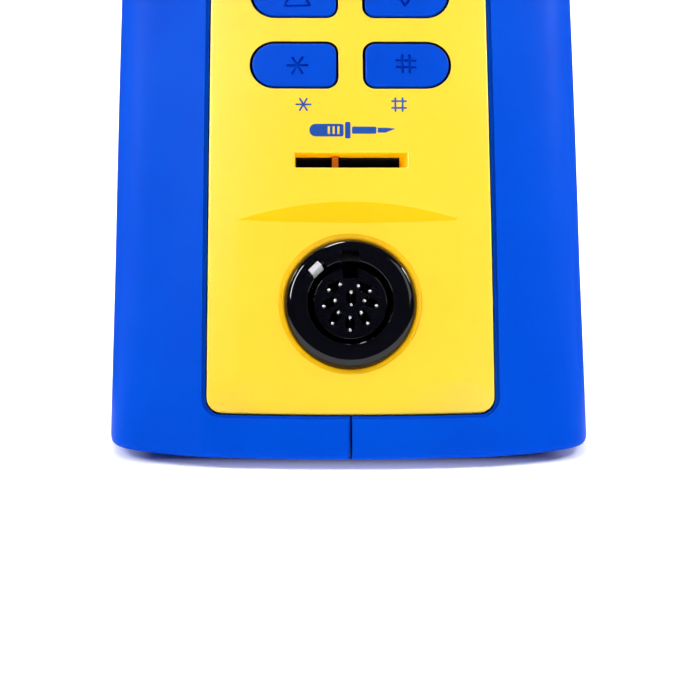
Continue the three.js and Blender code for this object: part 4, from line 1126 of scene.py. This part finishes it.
def sweep_curve(start, radius, steps):
    """Where a paper sweep turns from level to upright: (across, up) places, in metres."""
    turn = np.radians(np.linspace(0, 90, steps))
    return [(start + radius * math.sin(a), radius * (1 - math.cos(a))) for a in turn]


def sweep_strip(name, run):
    """A wide strip of the paper sweep through (y, z) places, in metres."""
    points = [(x / MM, y / MM, z / MM) for y, z in run for x in (-4, 4)]
    faces = [[a, a + 1, a + 3, a + 2] for a in range(0, len(points) - 2, 2)]
    strip = make_object(name, points, faces)
    if strip.data.polygons[0].normal.z < 0:
        strip.data.flip_normals()
    return strip


def paper_glow_and_painted_shadow(tree):
    """The paper's own light: none under the object, so that its shadow stays, a rise from nothing near the
    footprint that paints the contact shadow darker there, and more with distance.
    """
    shader = tree.nodes["Principled BSDF"]
    shader.inputs["Emission Color"].default_value = (1, 1, 1, 1)
    source = add_node(tree, "TexCoord").outputs["Object"]
    steps = {"ABSOLUTE": {}, "SUBTRACT": {1: FOOTPRINT}, "MAXIMUM": {1: (0, 0, 0)}, "LENGTH": {}}
    for operation, values in steps.items():
        step = add_node(tree, "VectorMath", values, operation=operation)
        tree.links.new(source, step.inputs[0])
        source = step.outputs["Value" if operation == "LENGTH" else "Vector"]
    total = add_node(tree, "Math")
    for place, (start, end, rise) in enumerate(GLOW_AND_SHADOW_RAMPS):
        glow = add_node(tree, "MapRange", {"From Min": start, "From Max": end, "To Max": rise})
        tree.links.new(source, glow.inputs["Value"])
        tree.links.new(glow.outputs["Result"], total.inputs[place])
    tree.links.new(total.outputs[0], shader.inputs["Emission Strength"])


def build_stage():
    """Paper under and behind the object, and a bowl round it all that only the camera sees."""
    front = sweep_strip("sweep_front", [(-3.0, 0.0), (0.0, 0.0)])
    back = sweep_strip("sweep_back", [(0.0, 0.0), *sweep_curve(0.9, 0.8, 16), (1.7, 3.5)])
    profile = [(0, 0), *sweep_curve(3.2, 0.8, 12), (4.0, 5.0)]
    bowl = make_object("sweep_bowl", *lathe([(r / MM, z / MM - 2) for r, z in profile], 96, "Z"))
    bowl.visible_diffuse = bowl.visible_shadow = False
    back.visible_glossy = bowl.visible_glossy = False
    paper_glow_and_painted_shadow(FINISH["paper"].node_tree)
    for sheet in (front, back, bowl):
        sheet.data.shade_smooth()
        paint(sheet, "paper")


def direction(azimuth, elevation, distance):
    """A place seen from the object: azimuth from the front, positive to the right."""
    a, e = math.radians(azimuth), math.radians(elevation)
    return (distance * math.sin(a) * math.cos(e), -distance * math.cos(a) * math.cos(e),
            distance * math.sin(e) + LIT_MIDDLE.z)


LAMPS = [  # name, place, width and height in metres, watts, what it lights
    ("box_left", direction(-80, 36, 0.9), (0.5, 0.3), 4.5, "diffuse"),
    ("box_right", direction(80, 47, 0.9), (0.5, 0.3), 4.5, "diffuse"),
    ("box_top", (-0.12, -0.15, 1.0), (0.4, 0.4), 3.4, "diffuse"),
    ("box_low", direction(24, 4, 0.5), (0.3, 0.16), 0.42, "diffuse"),
    ("sheen_left", direction(-52, 38, 0.8), (0.14, 0.34), 4.0, "glossy"),
    ("sheen_right", direction(52, 38, 0.8), (0.4, 0.4), 1.2, "glossy"),
    ("rim_top", (-0.15, 0.1, 0.84), (0.3, 0.08), 3, "glossy"),
    ("rim_left", direction(-104, 26, 0.8), (0.1, 0.36), 2.6, "glossy"),
    ("rim_right", direction(104, 30, 0.8), (0.08, 0.26), 4, "glossy"),
]


def softbox(name, at, size, power, lights):
    data = bpy.data.lights.new(name, "AREA")
    data.shape = "RECTANGLE"
    data.size, data.size_y = size
    data.energy = power
    lamp = in_scene(name, data)
    lamp.location = at
    lamp.rotation_mode = "QUATERNION"
    lamp.rotation_quaternion = (LIT_MIDDLE - Vector(at)).to_track_quat("-Z", "Y")
    lamp.visible_diffuse = lights == "diffuse"
    lamp.visible_glossy = lights == "glossy"


def build_light():
    """Lamps, and a dim room that is brighter at the left and the right."""
    world = bpy.data.worlds.new("studio")
    world.use_nodes = True
    tree = world.node_tree
    chain = [add_node(tree, "TexCoord").outputs["Generated"]]
    split = add_node(tree, "SeparateXYZ")
    square = add_node(tree, "Math", {1: 2}, operation="POWER")
    size = add_node(tree, "Math", {1: WORLD_SIDES, 2: WORLD_BASE}, operation="MULTIPLY_ADD")
    chain += [split.inputs[0], split.outputs["X"], square.inputs[0], square.outputs[0], size.inputs[0],
              size.outputs[0], tree.nodes["Background"].inputs["Strength"]]
    for source, target in zip(chain[::2], chain[1::2]):
        tree.links.new(source, target)
    world.cycles_visibility.glossy = False
    bpy.context.scene.world = world
    for lamp in LAMPS:
        softbox(*lamp)


# -------- put it together

FINISH = build_materials()
for finish, names in CAD_FINISH.items():
    for node in names:
        paint(NODES[node], finish)

build_shells()
build_panel()
build_buttons()
build_socket()
build_prints()
build_rear_plate()
build_inlet()
build_switch()
build_fuse_and_jack()
build_display()
build_underside()
build_stage()
build_light()
